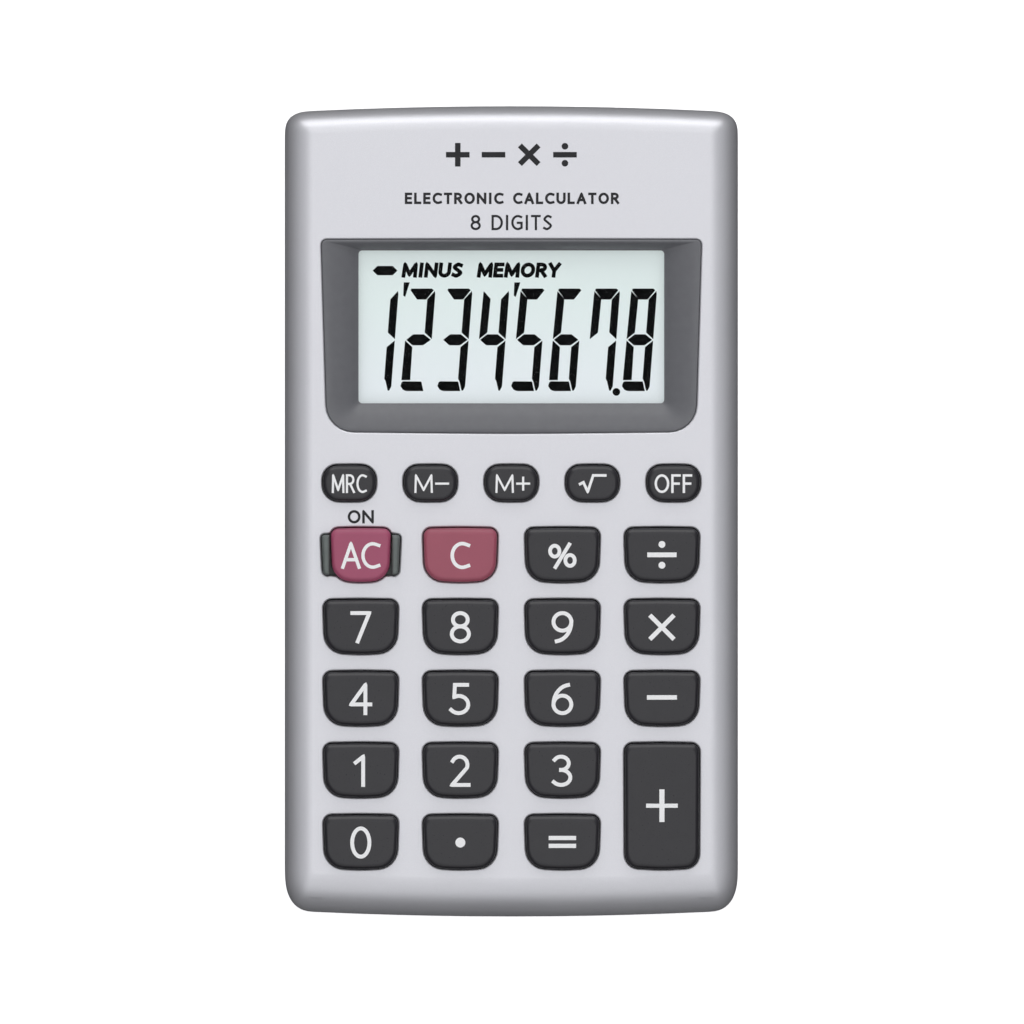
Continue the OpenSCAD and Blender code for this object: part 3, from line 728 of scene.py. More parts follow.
print_ink = Ink()
SIGN_Y, SIGN_SIZE, SIGN_PITCH = 56.0, 3.7, 5.6
INK_LEVELS = (-0.02, 0.018)
for number, name in enumerate(("plus", "minus", "times", "divide")):
    x = (number - 1.5) * SIGN_PITCH
    size = SIGN_SIZE * (0.86 if name == "times" else 1.0)
    print_ink.sign(name, x, SIGN_Y, size, size, 0.86)
    if name == "divide":
        print_ink.dot(x, SIGN_Y + 1.33, 0.52)
        print_ink.dot(x, SIGN_Y - 1.33, 0.52)
print_ink.words("ELECTRONIC CALCULATOR", 0.1, 49.15, 33.6, 1.80, 0.40, 0.30)
print_ink.words("8 DIGITS", 0.0, 45.35, 12.8, 2.40, 0.36, 0.34)
print_ink.words("ON", COLUMNS[0], -0.85, 4.1, 2.1, 0.40, 0.26)
print_ink.piece("case_print", grey_ink, "case", on_face, *INK_LEVELS, "window_print")

# ---- Display frame -----------------------------------------------------------------
# A dark grey moulding let into the shell from inside. Its walls slope down to the window:
# steep above it, wide at the sides and below. The surface is lightly sparked satin.

WINDOW_W, WINDOW_H, WINDOW_Y = 47.9, 24.0, 28.85

frame_grey = Look("display_frame_satin", coat_weight=0.35, coat_roughness=0.28)
frame_grey.layers((700, 4.0, (0.098, 0.100, 0.110), (0.121, 0.123, 0.134)),
                  (5000, 2.0, 0.42, 0.12), (15000, 3.0, 0.00002, 0.5))


def window_outline(g):
    return shield(WINDOW_W + 2 * g, WINDOW_H + 2 * g, 0.55 + g, 0.55 + g, 0.0, 0.01, 0.01)


def shifted(outline, y):
    return [Vector((p.x, p.y + y)) for p in outline]


bezel = Form()
lens_edge = shifted(window_outline(1.65), WINDOW_Y)
walls = [(lens_edge, -2.1), (lens_edge, -2.6)]
for g, z in ((1.0, -2.6), (1.0, -PLATE), (-0.05, -PLATE), (-0.05, -0.16), (-0.1, -0.07),
             (-0.2, -0.03), (-0.34, -0.05)):
    walls.append((shifted(bezel_outline(g), BEZEL_Y), z))
wide, tight = shifted(bezel_outline(-0.34), BEZEL_Y), shifted(window_outline(0.22), WINDOW_Y)
LOW_RIM, TOP_RIM = 1.2, 0.5
for share, z in ((0.03, -0.06), (0.06, -0.08), (0.1, -0.11), (0.16, -0.17), (0.25, -0.28),
                 (0.4, -0.49), (0.55, -0.73), (0.7, -1.01), (0.85, -1.35), (0.95, -1.62),
                 (1.0, -1.77)):
    walls.append(([a.lerp(b, share) for a, b in zip(wide, tight)], z))
for g, z in ((0.1, -1.80), (0.02, -1.86), (0.0, -1.95), (0.0, -2.1)):
    walls.append((shifted(window_outline(g), WINDOW_Y), z))


def on_rim(p, z):
    """The frame's edge rolls over by the keys, and has a narrow easing at the other end."""
    if -1 < z < 0:
        z -= 0.34 * max(0.0, 1 - (p.y - BEZEL_LOW) / LOW_RIM) ** 2
        z -= 0.16 * max(0.0, 1 - (BEZEL_TOP - p.y) / TOP_RIM) ** 2
    return on_face(p.x, p.y, z)


ids = bezel.loft([[on_rim(p, z) for p in ring] for ring, z in walls])
bezel.join(ids[-1], ids[0])
bezel.piece("display_frame", frame_grey, "case", "bezel_grey", ["display_bezel"], crease=40)

# ---- Window ------------------------------------------------------------------------
# Clear acrylic, cut to size with a small bevel, held in the display frame's rebate by a
# frame of black double-sided tape.

clear = Look("clear_acrylic", roughness=0.05, ior=1.49)
clear.color(clear.mix(clear.noise(200, 2.0), (0.004, 0.005, 0.005), (0.008, 0.009, 0.009)))
glance = clear.node("ShaderNodeLayerWeight", None, {"Blend": 0.5}, output=1)
clear.feed(clear.shader.inputs["Alpha"], 0.03 + 0.8 * glance ** 4.0)
clear.bump(clear.noise(300, 2.0), 0.00002, 0.06)
lens = Form()
stack = []
for g, z in ((1.2, -3.2), (1.5, -3.05), (1.5, -2.3), (1.35, -2.2)):
    stack.append(laid(window_outline(g), z, 0.0, WINDOW_Y))
lens.solid(stack)
lens.piece("window", clear, "case", "window_clear", ["display_window"], crease=20)

tape = Look("black_tape")
tape.layers((1500, 3.0, (0.012, 0.012, 0.012), (0.022, 0.022, 0.022)),
            (6000, 2.0, 0.62, 0.2), (9000, 2.0, 0.00002))


def finish_node(look, *names):
    """Gives CAD nodes whose shape is right their finish."""
    for name in names:
        mesh = frame["nodes"][name].data
        mesh.materials.clear()
        mesh.materials.append(look.material)


finish_node(tape, "window_tape")

# ---- Display cell ------------------------------------------------------------------
# Two sheets of thin glass with the liquid between them, a polarising film in front and a
# satin reflector behind. The film shows the pale field; the dark segments are lit cells,
# drawn as a thin layer on it. Under its lower edge lies the rubber contact strip.

# Painted light: the field glows a little, though it is no lamp, to lift the shade that the frame
# and the window cast on it.
field = Look("display_field", specular_ior_level=0.1, emission_strength=0.45,
             emission_color=(0.82, 0.90, 0.895))
lower = 1 - field.axis(1).over(0.026, 0.014)
lower += 0.1 * field.noise(60, 2.0)
field.color(field.mix(lower, (0.485, 0.56, 0.545), (0.535, 0.565, 0.60)))
field.rough(0.5 + 0.1 * field.noise(3000, 2.0))
field.bump(field.noise(9000, 2.0), 0.000006, 0.3)
film_low, film_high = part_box("lcd_front_polariser")
film = Form()
film_w = 1000 * (film_high.x - film_low.x)
FILM_TOP, FILM_T, FILM_LOW, FILM_HIGH = -3.4, 0.2, 15.2, 41.6
stack = []
for inset, z in ((0.0, FILM_TOP - FILM_T), (0.0, FILM_TOP - 0.05), (0.05, FILM_TOP)):
    x, low_y, high_y = film_w / 2 - inset, FILM_LOW + inset, FILM_HIGH - inset
    stack.append(laid([(-x, low_y), (x, low_y), (x, high_y), (-x, high_y)], z))
film.solid(stack)
film.piece("display_film", field, "case", "lcd_film", ["lcd_front_polariser"])

segment_black = Look("lit_segment", specular_ior_level=0.03)
segment_black.layers((500, 2.0, (0.0008, 0.0010, 0.0010), (0.002, 0.0025, 0.003)),
                     (3000, 2.0, 0.4, 0.1))

DIGIT_W, DIGIT_H, DIGIT_PITCH, DIGIT_LEAN = 4.4, 16.1, 5.785, 0.0765
BAR_T, POST_T = 1.72, 1.2
middle = DIGIT_H / 2
w, h, post = DIGIT_W, DIGIT_H, DIGIT_W - POST_T
SEGMENTS = {
    "a": [(0.62, h), (w - 0.60, h), (w - 0.28, h - 0.26), (post - 0.14, h - BAR_T),
          (1.62, h - BAR_T), (0.46, h - 0.24)],
    "b": [(w - 0.10, h - 0.38), (w, h - 0.85), (w, middle + 0.14), (w - 0.05, middle + 0.14),
          (post, middle + 0.12 + POST_T * 0.86), (post, h - BAR_T + 0.02)],
    "c": [(w - 0.05, middle - 0.14), (w, middle - 0.14), (w, 0.75), (w - 0.28, 0.08),
          (w - 0.52, 0.08), (w - 0.96, 1.55), (post, 1.95), (post, middle - 0.12 - POST_T * 0.86)],
    "d": [(0.04, 0.80), (0.20, 1.38), (0.44, 1.54), (3.26, 1.50), (3.70, 0.0), (1.02, 0.0),
          (0.46, 0.22)],
    "e": [(0.22, middle - 0.14), (0.28, middle - 0.14), (1.44, middle - 1.14), (1.50, 1.72),
          (0.12, 1.72)],
    "f": [(0.36, h - 0.52), (0.44, h - 0.44), (1.56, h - BAR_T + 0.10), (1.44, middle + 1.14),
          (0.28, middle + 0.14), (0.22, middle + 0.14)],
    "g": [(0.40, middle), (1.42, middle + BAR_T / 2), (post - 0.10, middle + BAR_T / 2),
          (w - 0.16, middle), (post - 0.10, middle - BAR_T / 2), (1.42, middle - BAR_T / 2)],
}
LIT = {"1": "bc", "2": "abged", "3": "abgcd", "4": "fgbc", "5": "afgcd", "6": "afgedc", "7": "fabc",
       "8": "abcdefg"}
DIGIT_RIGHT, DIGIT_FOOT = 21.62, 18.68
segments = Ink()
for number, digit in enumerate("12345678"):
    x0 = DIGIT_RIGHT - (7 - number) * DIGIT_PITCH - DIGIT_W
    for letter in LIT[digit]:
        segments.shape(
            [(x0 + x + DIGIT_LEAN * y, DIGIT_FOOT + y) for x, y in SEGMENTS[letter]]
        )
for x0 in (-16.45, 0.88):
    segments.shape([(x0 - 0.42, 35.75), (x0 + 0.52, 35.75), (x0 - 0.20, 33.45), (x0 - 0.50, 33.7)])
segments.dot(16.45, 18.55, 0.6)
segments.shape(
    [(-21.75, 37.6), (-21.0, 38.33), (-18.6, 38.33), (-17.85, 37.6), (-18.6, 36.87), (-21.0, 36.87)]
)
segments.words("MINUS", -12.35, 37.68, 9.5, 2.36, 0.60, 0.12, 0.09)
segments.words("MEMORY", 1.2, 37.68, 13.0, 2.36, 0.60, 0.12, 0.09)
low, high = FILM_TOP - 0.02, FILM_TOP + 0.02
segments.piece("display_segments", segment_black, "case", on_face, low, high, "lcd_film")

glass = Look("thin_glass", roughness=0.05, ior=1.52, base_color=(0.85, 0.92, 0.9))
glass.feed(glass.shader.inputs["Alpha"], 0.25 + 0.2 * glass.noise(40, 1.0))
reflector = Look("reflector_film", metallic=0.4)
reflector.layers((2000, 3.0, (0.62, 0.68, 0.66), (0.72, 0.76, 0.74)), (4000, 2.0, 0.4, 0.15))
strip = Look("contact_strip")
layers = strip.axis(0).math("MULTIPLY", 6000.0).math("SINE").over(0.0, 0.4)
strip.color(strip.mix(layers, (0.35, 0.10, 0.10), (0.02, 0.02, 0.02)))
strip.rough(0.6 + 0.1 * layers)
white = Look("white_holder")
white.layers((300, 3.0, (0.66, 0.66, 0.63), (0.72, 0.72, 0.70)),
             (5000, 2.0, 0.45, 0.15), (9000, 2.0, 0.00002, 0.5))
finish_node(glass, "lcd_front_glass", "lcd_rear_glass")
finish_node(reflector, "lcd_reflector")
finish_node(strip, "zebra_strip")
finish_node(white, "lcd_holder")

# ---- Guard -------------------------------------------------------------------------
# Two grey-green ribs beside the power key, one moulding with the thin frame that joins
# them under the face. They stand higher than the key, so that it isn't pressed by chance.

guard_grey = Look("guard_satin", coat_weight=0.1)
guard_grey.layers((900, 3.0, (0.085, 0.10, 0.095), (0.12, 0.135, 0.13)),
                  (5000, 2.0, 0.38, 0.12), (12000, 2.0, 0.000015, 0.5))
guard_x, guard_y, _ = KEYS["key_ac"]
RIB_TOP, RIB_HALF_W, RIB_HALF_L, GUARD_T = 1.62, 0.62, 3.08, 0.6
guard = Form()
for side in (-1, 1):
    corners = [(4.9, -RIB_HALF_L), (5.84, -RIB_HALF_L), (6.14, RIB_HALF_L), (4.9, RIB_HALF_L)]
    profile = rounded([(side * px, py) for px, py in corners], [0.12, 0.5, 0.45, 0.12], 5)
    mid = Vector((sum(p.x for p in profile) / len(profile), 0))
    rings = []
    for inset, z in ((0.0, -PLATE - GUARD_T), (0.0, RIB_TOP - 0.42), (0.05, RIB_TOP - 0.24),
                     (0.14, RIB_TOP - 0.1), (0.28, RIB_TOP - 0.02), (0.40, RIB_TOP)):
        rings.append(
            [
                on_face(
                    guard_x + mid.x + (p.x - mid.x) * (1 - inset / RIB_HALF_W),
                    guard_y + 0.08 + p.y * (1 - inset / RIB_HALF_L),
                    z,
                )
                for p in profile
            ]
        )
    guard.solid(rings)
tongue = rounded([(-7.2, -5.25), (7.2, -5.25), (7.2, 5.25), (-7.2, 5.25)], [0.8] * 4)
key_gap = key_outline("guarded", 0.14)
low_out, top_out, low_in, top_in = (
    guard.ring(laid(outline, -PLATE - under, guard_x, guard_y))
    for outline in (tongue, key_gap) for under in (GUARD_T, 0.02)
)
guard.join(low_out, top_out)
guard.join(top_in, low_in)
guard.plate(low_out, [low_in])
guard.plate(top_out, [top_in])
guard.piece("key_guard", guard_grey, "case", "guard_grey", ["power_key_guard"], crease=30)

# ---- Keys --------------------------------------------------------------------------
# Moulded caps with a wide bevel round a flat top. Each has a flange that stops under the
# face and a stem that rests on its rubber dome. The signs are pad printed in white.

charcoal = Look("charcoal_key", specular_ior_level=0.42)
charcoal.layers((600, 4.0, (0.0145, 0.0139, 0.0172), (0.0198, 0.0189, 0.0229)),
                (4500, 2.0, 0.25, 0.08), (13000, 3.0, 0.000014, 0.3))
REDS = {"key_ac": (0.35, 0.074, 0.140), "key_c": (0.335, 0.080, 0.120)}
rose = {}
for name, tint in REDS.items():
    finish = rose[name] = Look(f"rose_{name}", specular_ior_level=0.35)
    deeper = tuple(0.9 * t for t in tint)
    finish.color(finish.mix(finish.noise(350, 3.0), deeper, tint))
    finish.rough(0.26 + 0.12 * finish.noise(4500, 2.0))
    finish.bump(finish.noise(13000, 3.0), 0.000014, 0.5)
white_ink = Look("key_ink")
white_ink.layers((2500, 3.0, (0.80, 0.80, 0.81), (0.88, 0.88, 0.88)),
                 (5000, 2.0, 0.42, 0.12), (14000, 2.0, 0.000006, 0.4))

DOME_TOP, PLUNGER_GAP, FLANGE_GAP, FLANGE_T = -3.25, 0.05, 0.1, 0.8
# The bevel from the wall to the flat top: share of its width, and share of its fall left.
EASE = [(0.0, 1.0), (0.02, 0.90), (0.06, 0.78), (0.12, 0.68), (0.22, 0.54), (0.36, 0.38),
        (0.50, 0.24), (0.64, 0.13), (0.78, 0.055), (0.90, 0.012), (1.0, 0.0)]


def cap(name, x, y, kind, look, slot):
    """One keycap. Returns the height of its top at a place across and along."""
    guarded = kind == "guarded"
    rise = 1.2 if kind == "small" else 1.4
    high = -PLATE - (0.7 if guarded else FLANGE_GAP)
    low = DOME_TOP + PLUNGER_GAP if guarded else high - FLANGE_T
    base = key_outline(kind, 0)
    half_w, half_h = max(p.x for p in base), max(p.y for p in base)
    if guarded:
        flange = rounded([(-4.45, -4.85), (4.45, -4.85), (4.45, 4.85), (-4.45, 4.85)], [0.5] * 4)
    else:
        flange = key_outline(kind, 0.6)
    crown, drop = 0.012, 0.50 if kind == "small" else 0.56
    bevel = {"side": 0.55, "top": 0.95, "low": 0.75}
    if kind == "small":
        bevel = {"side": 0.6, "top": 0.8, "low": 0.65}
    skirt = Form()
    foot = [skirt.ring(laid(flange, z, x, y)) for z in (low, high)]
    skirt.join(*foot)
    skirt.faces.append(tuple(reversed(foot[0])))
    skirt.faces.append(tuple(foot[1]))
    if not guarded:
        stem = 1.5 if kind == "small" else 1.9
        ring = bow(0, 0, stem, stem, 0, 345, 23)
        levels = (DOME_TOP + PLUNGER_GAP, low + 0.1)
        skirt.solid([laid(ring, z, x, y) for z in levels])
    rings = [laid(base, z, x, y) for z in (high - 0.1, rise - drop - 0.25)]
    for part, fall in EASE:
        rim_shape = [
            Vector((
                p.x * (1 - bevel["side"] * part / half_w),
                p.y * (1 - bevel["top" if p.y > 0 else "low"] * part / half_h),
            ))
            for p in base
        ]
        rings.append(laid(rim_shape, rise - crown - drop * fall, x, y))
    for share in (0.9, 0.75, 0.5, 0.25):
        z = rise - crown * share * share
        rings.append([on_face(x + p.x * share, y + p.y * share, z) for p in rim_shape])
    ids = skirt.loft(rings, first=True)
    skirt.crown(ids[-1], on_face(x, y, rise))
    skirt.piece(name.replace("key", "keycap"), look, name, slot, [name], crease=38)
    edge_x, edge_y = max(p.x for p in rim_shape), max(p.y for p in rim_shape)
    return lambda px, py: rise - crown * min(1.0, max(abs(px) / edge_x, abs(py) / edge_y)) ** 2


# Words on the keys: text, width, height, stroke and gap.
LABELS = {
    "mrc": ("MRC", 5.5, 2.95, 0.34, 0.22), "off": ("OFF", 5.9, 2.95, 0.38, 0.30),
    "ac": ("AC", 6.15, 4.2, 0.52, 0.10), "c": ("C", 3.1, 4.3, 0.56, 0.0),
}
# Signs on the keys: name, place across and along, height, width and stroke.
MEMORY = ("M", -1.05, 0.0, 2.92, 2.9, 0.33)
SIGNS = {
    "m_minus": [MEMORY, ("minus", 1.85, 0.0, 2.2, 2.2, 0.34)],
    "m_plus": [MEMORY, ("plus", 1.85, 0.0, 2.2, 2.2, 0.34)],
    "sqrt": [("root", 0.05, 0.0, 3.0, 4.35, 0.42)],
    "percent": [("percent", 0.0, -0.05, 3.75, 4.45, 0.58)],
    "divide": [("divide", 0.0, 0.1, 4.6, 4.6, 0.74)],
    "multiply": [("times", 0.0, 0.0, 4.0, 4.0, 0.70)],
    "minus": [("minus", 0.0, 0.25, 4.7, 4.7, 0.70)],
    "plus": [("plus", 0.0, 0.15, 5.05, 5.05, 0.72, 0.0, (0.64, 0.80))],
    "equals": [("equals", 0.0, 0.1, 4.3, 4.3, 0.66)],
}
DOTS = {"divide": [(0.0, 1.73, 0.54), (0.0, -1.53, 0.54)], "point": [(0.0, 0.0, 0.78)]}
SIGN_LEVELS = (-0.06, 0.02)
for name, (x, y, kind) in KEYS.items():
    slot = "key_rose" if name in rose else "key_charcoal"
    height = cap(name, x, y, kind, rose.get(name, charcoal), slot)
    mark, label = Ink(), name[4:]
    if label.isdigit():
        mark.sign(label, -0.15 if label == "1" else 0.0, 0.0, 5.05, STROKES[label][0] * 5.0, 0.60)
    elif label in LABELS:
        text, across, size, stroke, space = LABELS[label]
        mark.words(text, 0.0, 0.0, across, size, stroke, space)
    for sign in SIGNS.get(label, []):
        mark.sign(*sign)
    for spot in DOTS.get(label, []):
        mark.dot(*spot)
    mark.piece(
        name.replace("key", "sign"), white_ink, name,
        lambda px, py, z, x=x, y=y, height=height: on_face(x + px, y + py, height(px, py) + z),
        *SIGN_LEVELS, slot,
    )

# ---- Rubber domes ------------------------------------------------------------------
# One moulded sheet of milky silicone lies between the keys and the board. Each key has a
# dome: a thin web that snaps down under the stem, and a hub with a carbon pill below it.

BOARD_TOP, SHEET_T, HUB_LOW, PILL_T = -6.0, 0.8, -4.5, 0.3
SHEET_TOP = BOARD_TOP + SHEET_T
silicone = Look("silicone", subsurface_weight=0.15, subsurface_scale=0.001)
silicone.layers((250, 3.0, (0.56, 0.58, 0.58), (0.64, 0.66, 0.65)),
                (3000, 2.0, 0.48, 0.15), (7000, 2.0, 0.00002, 0.4))
carbon = Look("conductive_carbon")
carbon.layers((4000, 2.0, (0.010, 0.010, 0.011), (0.022, 0.022, 0.023)), (6000, 2.0, 0.7, 0.15))

mat = Form()
corner = [(-31, 6.2), (-31, -55.5), (-27.3, -55.5), (-27.3, -57.7), (27.3, -57.7), (27.3, -55.5),
          (31, -55.5), (31, 6.2), (27.8, 6.2), (27.8, 7.3), (-27.8, 7.3), (-27.8, 6.2)]
edge_line = rounded(corner, [0.4] * len(corner), 3)
openings = [(x, y, 2.7 if kind == "small" else 3.5) for x, y, kind in KEYS.values()]
openings += [(x, y, 2.0) for x, y in BOARD_BOSSES if y < 0]
levels = []
for z in (BOARD_TOP + 0.02, SHEET_TOP):
    outer_ring = mat.ring(laid(edge_line, z))
    levels.append((outer_ring, [mat.ring(laid(disc(*hole), z)) for hole in openings]))
mat.join(levels[0][0], levels[1][0])
for low_ring, top_ring in zip(levels[0][1], levels[1][1]):
    mat.join(top_ring, low_ring)
for outer_ring, hole_rings in levels:
    mat.plate(outer_ring, hole_rings)
mat.piece("silicone_sheet", silicone, "case", "silicone", ["dome_sheet"])

for name, (x, y, kind) in KEYS.items():
    foot, hub = (2.7, 1.6) if kind == "small" else (3.5, 2.0)
    web = [(hub - 0.5, HUB_LOW), (hub - 0.35, HUB_LOW - 0.05),
           ((foot + hub) / 2 - 0.35, SHEET_TOP + 0.28), (foot - 0.05, SHEET_TOP),
           (foot + 0.4, SHEET_TOP + 0.02), (foot + 0.25, SHEET_TOP + 0.16),
           ((foot + hub) / 2 + 0.2, SHEET_TOP + 0.72), (hub + 0.08, HUB_LOW + 0.42),
           (hub, HUB_LOW + 0.6), (hub, DOME_TOP - 0.12), (hub - 0.12, DOME_TOP)]
    dome = Form()
    rings = dome.loft([laid(disc(x, y, r, 32), z) for r, z in web], first=True)
    dome.crown(rings[-1], on_face(x, y, DOME_TOP))
    dome = dome.piece(name.replace("key", "dome"), silicone, "case", "silicone")
    pill = Form()
    wide = hub - 0.6
    disk = ((wide - 0.06, HUB_LOW - PILL_T), (wide, HUB_LOW - PILL_T + 0.06),
            (wide, HUB_LOW + 0.02))
    pill.solid([laid(disc(x, y, r), z) for r, z in disk])
    pill = pill.piece(name.replace("key", "pill"), carbon, "case", "carbon", ["carbon_pills"])
    for soft in (dome, pill):
        name + "_press"
        on_face(x, y, SHEET_TOP) * 0.001
        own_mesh(soft)

# ---- Circuit board -----------------------------------------------------------------
# Green-lacquered laminate with printed carbon contacts. Under it sit the chip's drop of
# black resin, a can capacitor and a few chip parts. Six screws hold it to the front shell.

board = Look("green_board", coat_weight=0.3, coat_roughness=0.2)
wave_x = (board.axis(0) * 2400.0 + 3.0 * board.noise(120, 1.0)).math("SINE")
wave_y = (board.axis(1) * 1900.0 + 3.0 * board.noise(90, 1.0)).math("SINE")
choose = board.noise(60, 0.0).over(0.5, 0.01)
traces = (wave_x * choose + wave_y * (1 - choose)).over(0.55, 0.15)
board.color(
    board.mix(
        traces,
        board.mix(board.noise(400, 3.0), (0.012, 0.12, 0.045), (0.018, 0.15, 0.06)),
        (0.05, 0.26, 0.10),
    )
)
board.rough(0.35 + 0.1 * board.noise(3000, 2.0))
board.bump(traces, 0.00003, 0.5)
resin = Look("black_resin", coat_weight=0.6, coat_roughness=0.1)
resin.layers((500, 2.0, (0.008, 0.008, 0.009), (0.016, 0.016, 0.017)),
             (900, 3.0, 0.25, 0.15), (500, 2.0, 0.00008, 0.4))
ceramic = Look("ceramic_chip")
ceramic.layers((2500, 2.0, (0.36, 0.25, 0.16), (0.46, 0.33, 0.22)), (5000, 2.0, 0.5, 0.2))
black_chip = Look("chip_resistor")
black_chip.layers((2500, 2.0, (0.012, 0.012, 0.014), (0.03, 0.03, 0.034)), (5000, 2.0, 0.4, 0.2))
finish_node(board, "main_board")
finish_node(carbon, "contact_pads")
finish_node(resin, "processor_glob")
finish_node(ceramic, "chip_capacitors")
finish_node(black_chip, "chip_resistors")


def turned(form, profile, place, steps=32, last=True):
    """Adds a shape turned on a lathe. place(a, b, h) puts a point; h is along the axis."""
    turns = [2 * math.pi * i / steps for i in range(steps)]
    return form.loft(
        [[place(r * math.cos(a), r * math.sin(a), h) for a in turns] for r, h in profile],
        first=True, last=last,
    )


sleeve = Look("capacitor_sleeve", coat_weight=0.2)
can_low, can_high = (1000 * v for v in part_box("buffer_capacitor"))
along = sleeve.axis(0)
can_end = along.over(0.001 * (can_high.x - 0.35), 0.0002)
sleeve.color(sleeve.mix(can_end, (0.012, 0.016, 0.06), (0.62, 0.62, 0.64)))
sleeve.feed(sleeve.shader.inputs["Metallic"], can_end)
sleeve.rough(0.3 + 0.15 * sleeve.noise(2500, 2.0))
can = Form()
can_mid = (can_low + can_high) / 2
can_r = (can_high.z - can_low.z) / 2
length = can_high.x - can_low.x
turned(
    can,
    [(can_r - 0.5, 0), (can_r - 0.15, 0), (can_r, 0.15), (can_r, 0.9), (can_r - 0.22, 1.1),
     (can_r - 0.22, 1.25), (can_r, 1.45), (can_r, length - 0.3), (can_r - 0.25, length - 0.05),
     (can_r - 0.5, length), (can_r - 0.6, length - 0.12)],
    lambda a, b, h: Vector((can_low.x + h, can_mid.y + a, can_mid.z + b)),
)
can.piece("can_capacitor", sleeve, "case", "capacitor_sleeve", ["buffer_capacitor"])

# ---- Rear shell --------------------------------------------------------------------
# The lower half of the case: a tray moulded in dark grey plastic with a fine spark
# texture. Its lip locates the front shell, and four posts take the case screws.

rear_grey = Look("rear_shell_grey")
rear_grey.layers((500, 4.0, (0.062, 0.063, 0.068), (0.080, 0.081, 0.086)), (4200, 2.0, 0.52, 0.14))
rear_grey.bump(rear_grey.noise(5200, 3.0, 0.6), 0.00005, 0.6)


def flats(shape):
    """The area of the flat that each face of the mesh is part of."""
    area, left = {}, set(shape.faces)
    while left:
        group = [left.pop()]
        for face in group:
            for line in face.edges:
                for other in line.link_faces:
                    if other in left and other.normal.dot(face.normal) > 0.99998:
                        left.remove(other)
                        group.append(other)
        total = sum(face.calc_area() for face in group)
        area.update((face.index, total) for face in group)
    return area


def dressed(name, look, body, node, crease=35, broad=4e-5):
    """The CAD part's own surface as a piece, welded. Flats stay flat up to their edges, and
    rounded edges are smooth."""
    shape = bmesh.new()
    shape.from_mesh(frame["nodes"][node].data)
    bmesh.ops.remove_doubles(shape, verts=shape.verts, dist=2e-6)
    bmesh.ops.dissolve_degenerate(shape, dist=1e-7, edges=shape.edges)
    shape.normal_update()
    shape.faces.index_update()
    area, limit, normals = flats(shape), math.cos(math.radians(crease)), []
    for face in shape.faces:
        for corner in face.loops:
            near = [f for f in corner.vert.link_faces if f.normal.dot(face.normal) > limit]
            widest = max(near, key=lambda f: area[f.index])
            if area[face.index] > broad:
                widest = face
            if area[widest.index] > broad:
                normals.append(widest.normal.copy())
            else:
                normals.append(sum((f.normal * f.calc_area() for f in near), Vector()).normalized())
    mesh = bpy.data.meshes.new(name)
    shape.to_mesh(mesh)
    shape.free()
    mesh.materials.append(look.material)
    mesh.shade_smooth()
    mesh.normals_split_custom_set(normals)
    made = added(name, mesh)
    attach(made, body)
    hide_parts(node)
    return made


dressed("rear_shell", rear_grey, "case", "rear_case")

# ---- Battery door ------------------------------------------------------------------
# The same plastic as the rear shell. It slides off over the display end on two side
# rails; the grooves for the thumb narrow towards the edge that it leaves by.

dressed("door_panel", rear_grey, "door", "battery_door")
STROKES["P"] = (0.56, [trace(0, 0, 0, 1) + bow(0.42, 0.73, 0.5, 0.27, 90, -90, 12) + [(0, 0.46)]])
raised = Ink()
raised.words("OPEN", 0.0, 50.0, 11.0, 2.2, 0.34, 0.7)
raised.shape([(-1.5, 60.4), (1.5, 60.4), (0.0, 62.2)])
door_low = 1000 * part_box("battery_door")[0].z
raised.piece(
    "door_lettering", rear_grey, "door",
    lambda x, y, z: Vector((-x, y, door_low - z)), -0.05, 0.1, "case_back",
)

# ---- Screws ------------------------------------------------------------------------
# Self-tapping steel screws with pan heads and cross recesses. The four that join the
# shells are blacked; the six short ones under the board are zinc plated.

black_steel = Look("blacked_steel", metallic=0.8)
black_steel.layers((1500, 3.0, (0.045, 0.045, 0.05), (0.09, 0.09, 0.095)), (3500, 3.0, 0.34, 0.2))
zinc = Look("zinc_plate", metallic=1.0)
zinc.layers((1200, 3.0, (0.52, 0.54, 0.58), (0.66, 0.67, 0.70)),
            (2500, 3.0, 0.28, 0.2), (4000, 2.0, 0.00001, 0.4))


def screws(name, look, slot, node, places, seat, head_r, head_t, length):
    """Screws that point up into the front shell, heads below."""
    form = Form()
    arm, half = head_r * 0.52, 0.2
    cross = [(arm, -half), (arm, half), (half, half), (half, arm), (-half, arm), (-half, half),
             (-arm, half), (-arm, -half), (-half, -half), (-half, -arm), (half, -arm),
             (half, -half)]
    for x, y in places:
        def place(a, b, h, x=x, y=y):
            return on_face(x + a, y + b, seat + h)

        body = [(0.3, length), (0.75, length - 0.8)]
        h = length - 1.0
        while h > 0.4:
            body += [(1.0, h), (0.78, h - 0.22)]
            h -= 0.44
        body += [(1.0, 0.1), (1.0, 0.0), (head_r - 0.05, 0.0), (head_r, -0.06)]
        head = ((1.0, 0.45), (0.93, 0.72), (0.8, 0.9), (0.66, 1.0))
        body += [(head_r * wide, -head_t * down) for wide, down in head]
        rings = turned(form, body, place, last=False)
        mouth = form.ring([place(a, b, -head_t) for a, b in cross])
        pit = form.ring([place(a * 0.75, b * 0.75, -head_t + 0.7) for a, b in cross])
        form.plate(rings[-1], [mouth])
        form.join(mouth, pit)
        form.faces.append(tuple(pit))
    form.piece(name, look, "case", slot, [node], crease=30)


screws("shell_screws", black_steel, "screw_black", "case_screws", CASE_BOSSES, -8.7, 2.1, 1.4, 5.8)
screws("short_screws", zinc, "steel", "board_screws", BOARD_BOSSES, -7.0, 1.8, 0.9, 4.2)

# ---- Battery -----------------------------------------------------------------------
# A plain AA cell: a steel can in a printed plastic sleeve, shrunk over both ends. Its nub
# points to the right.

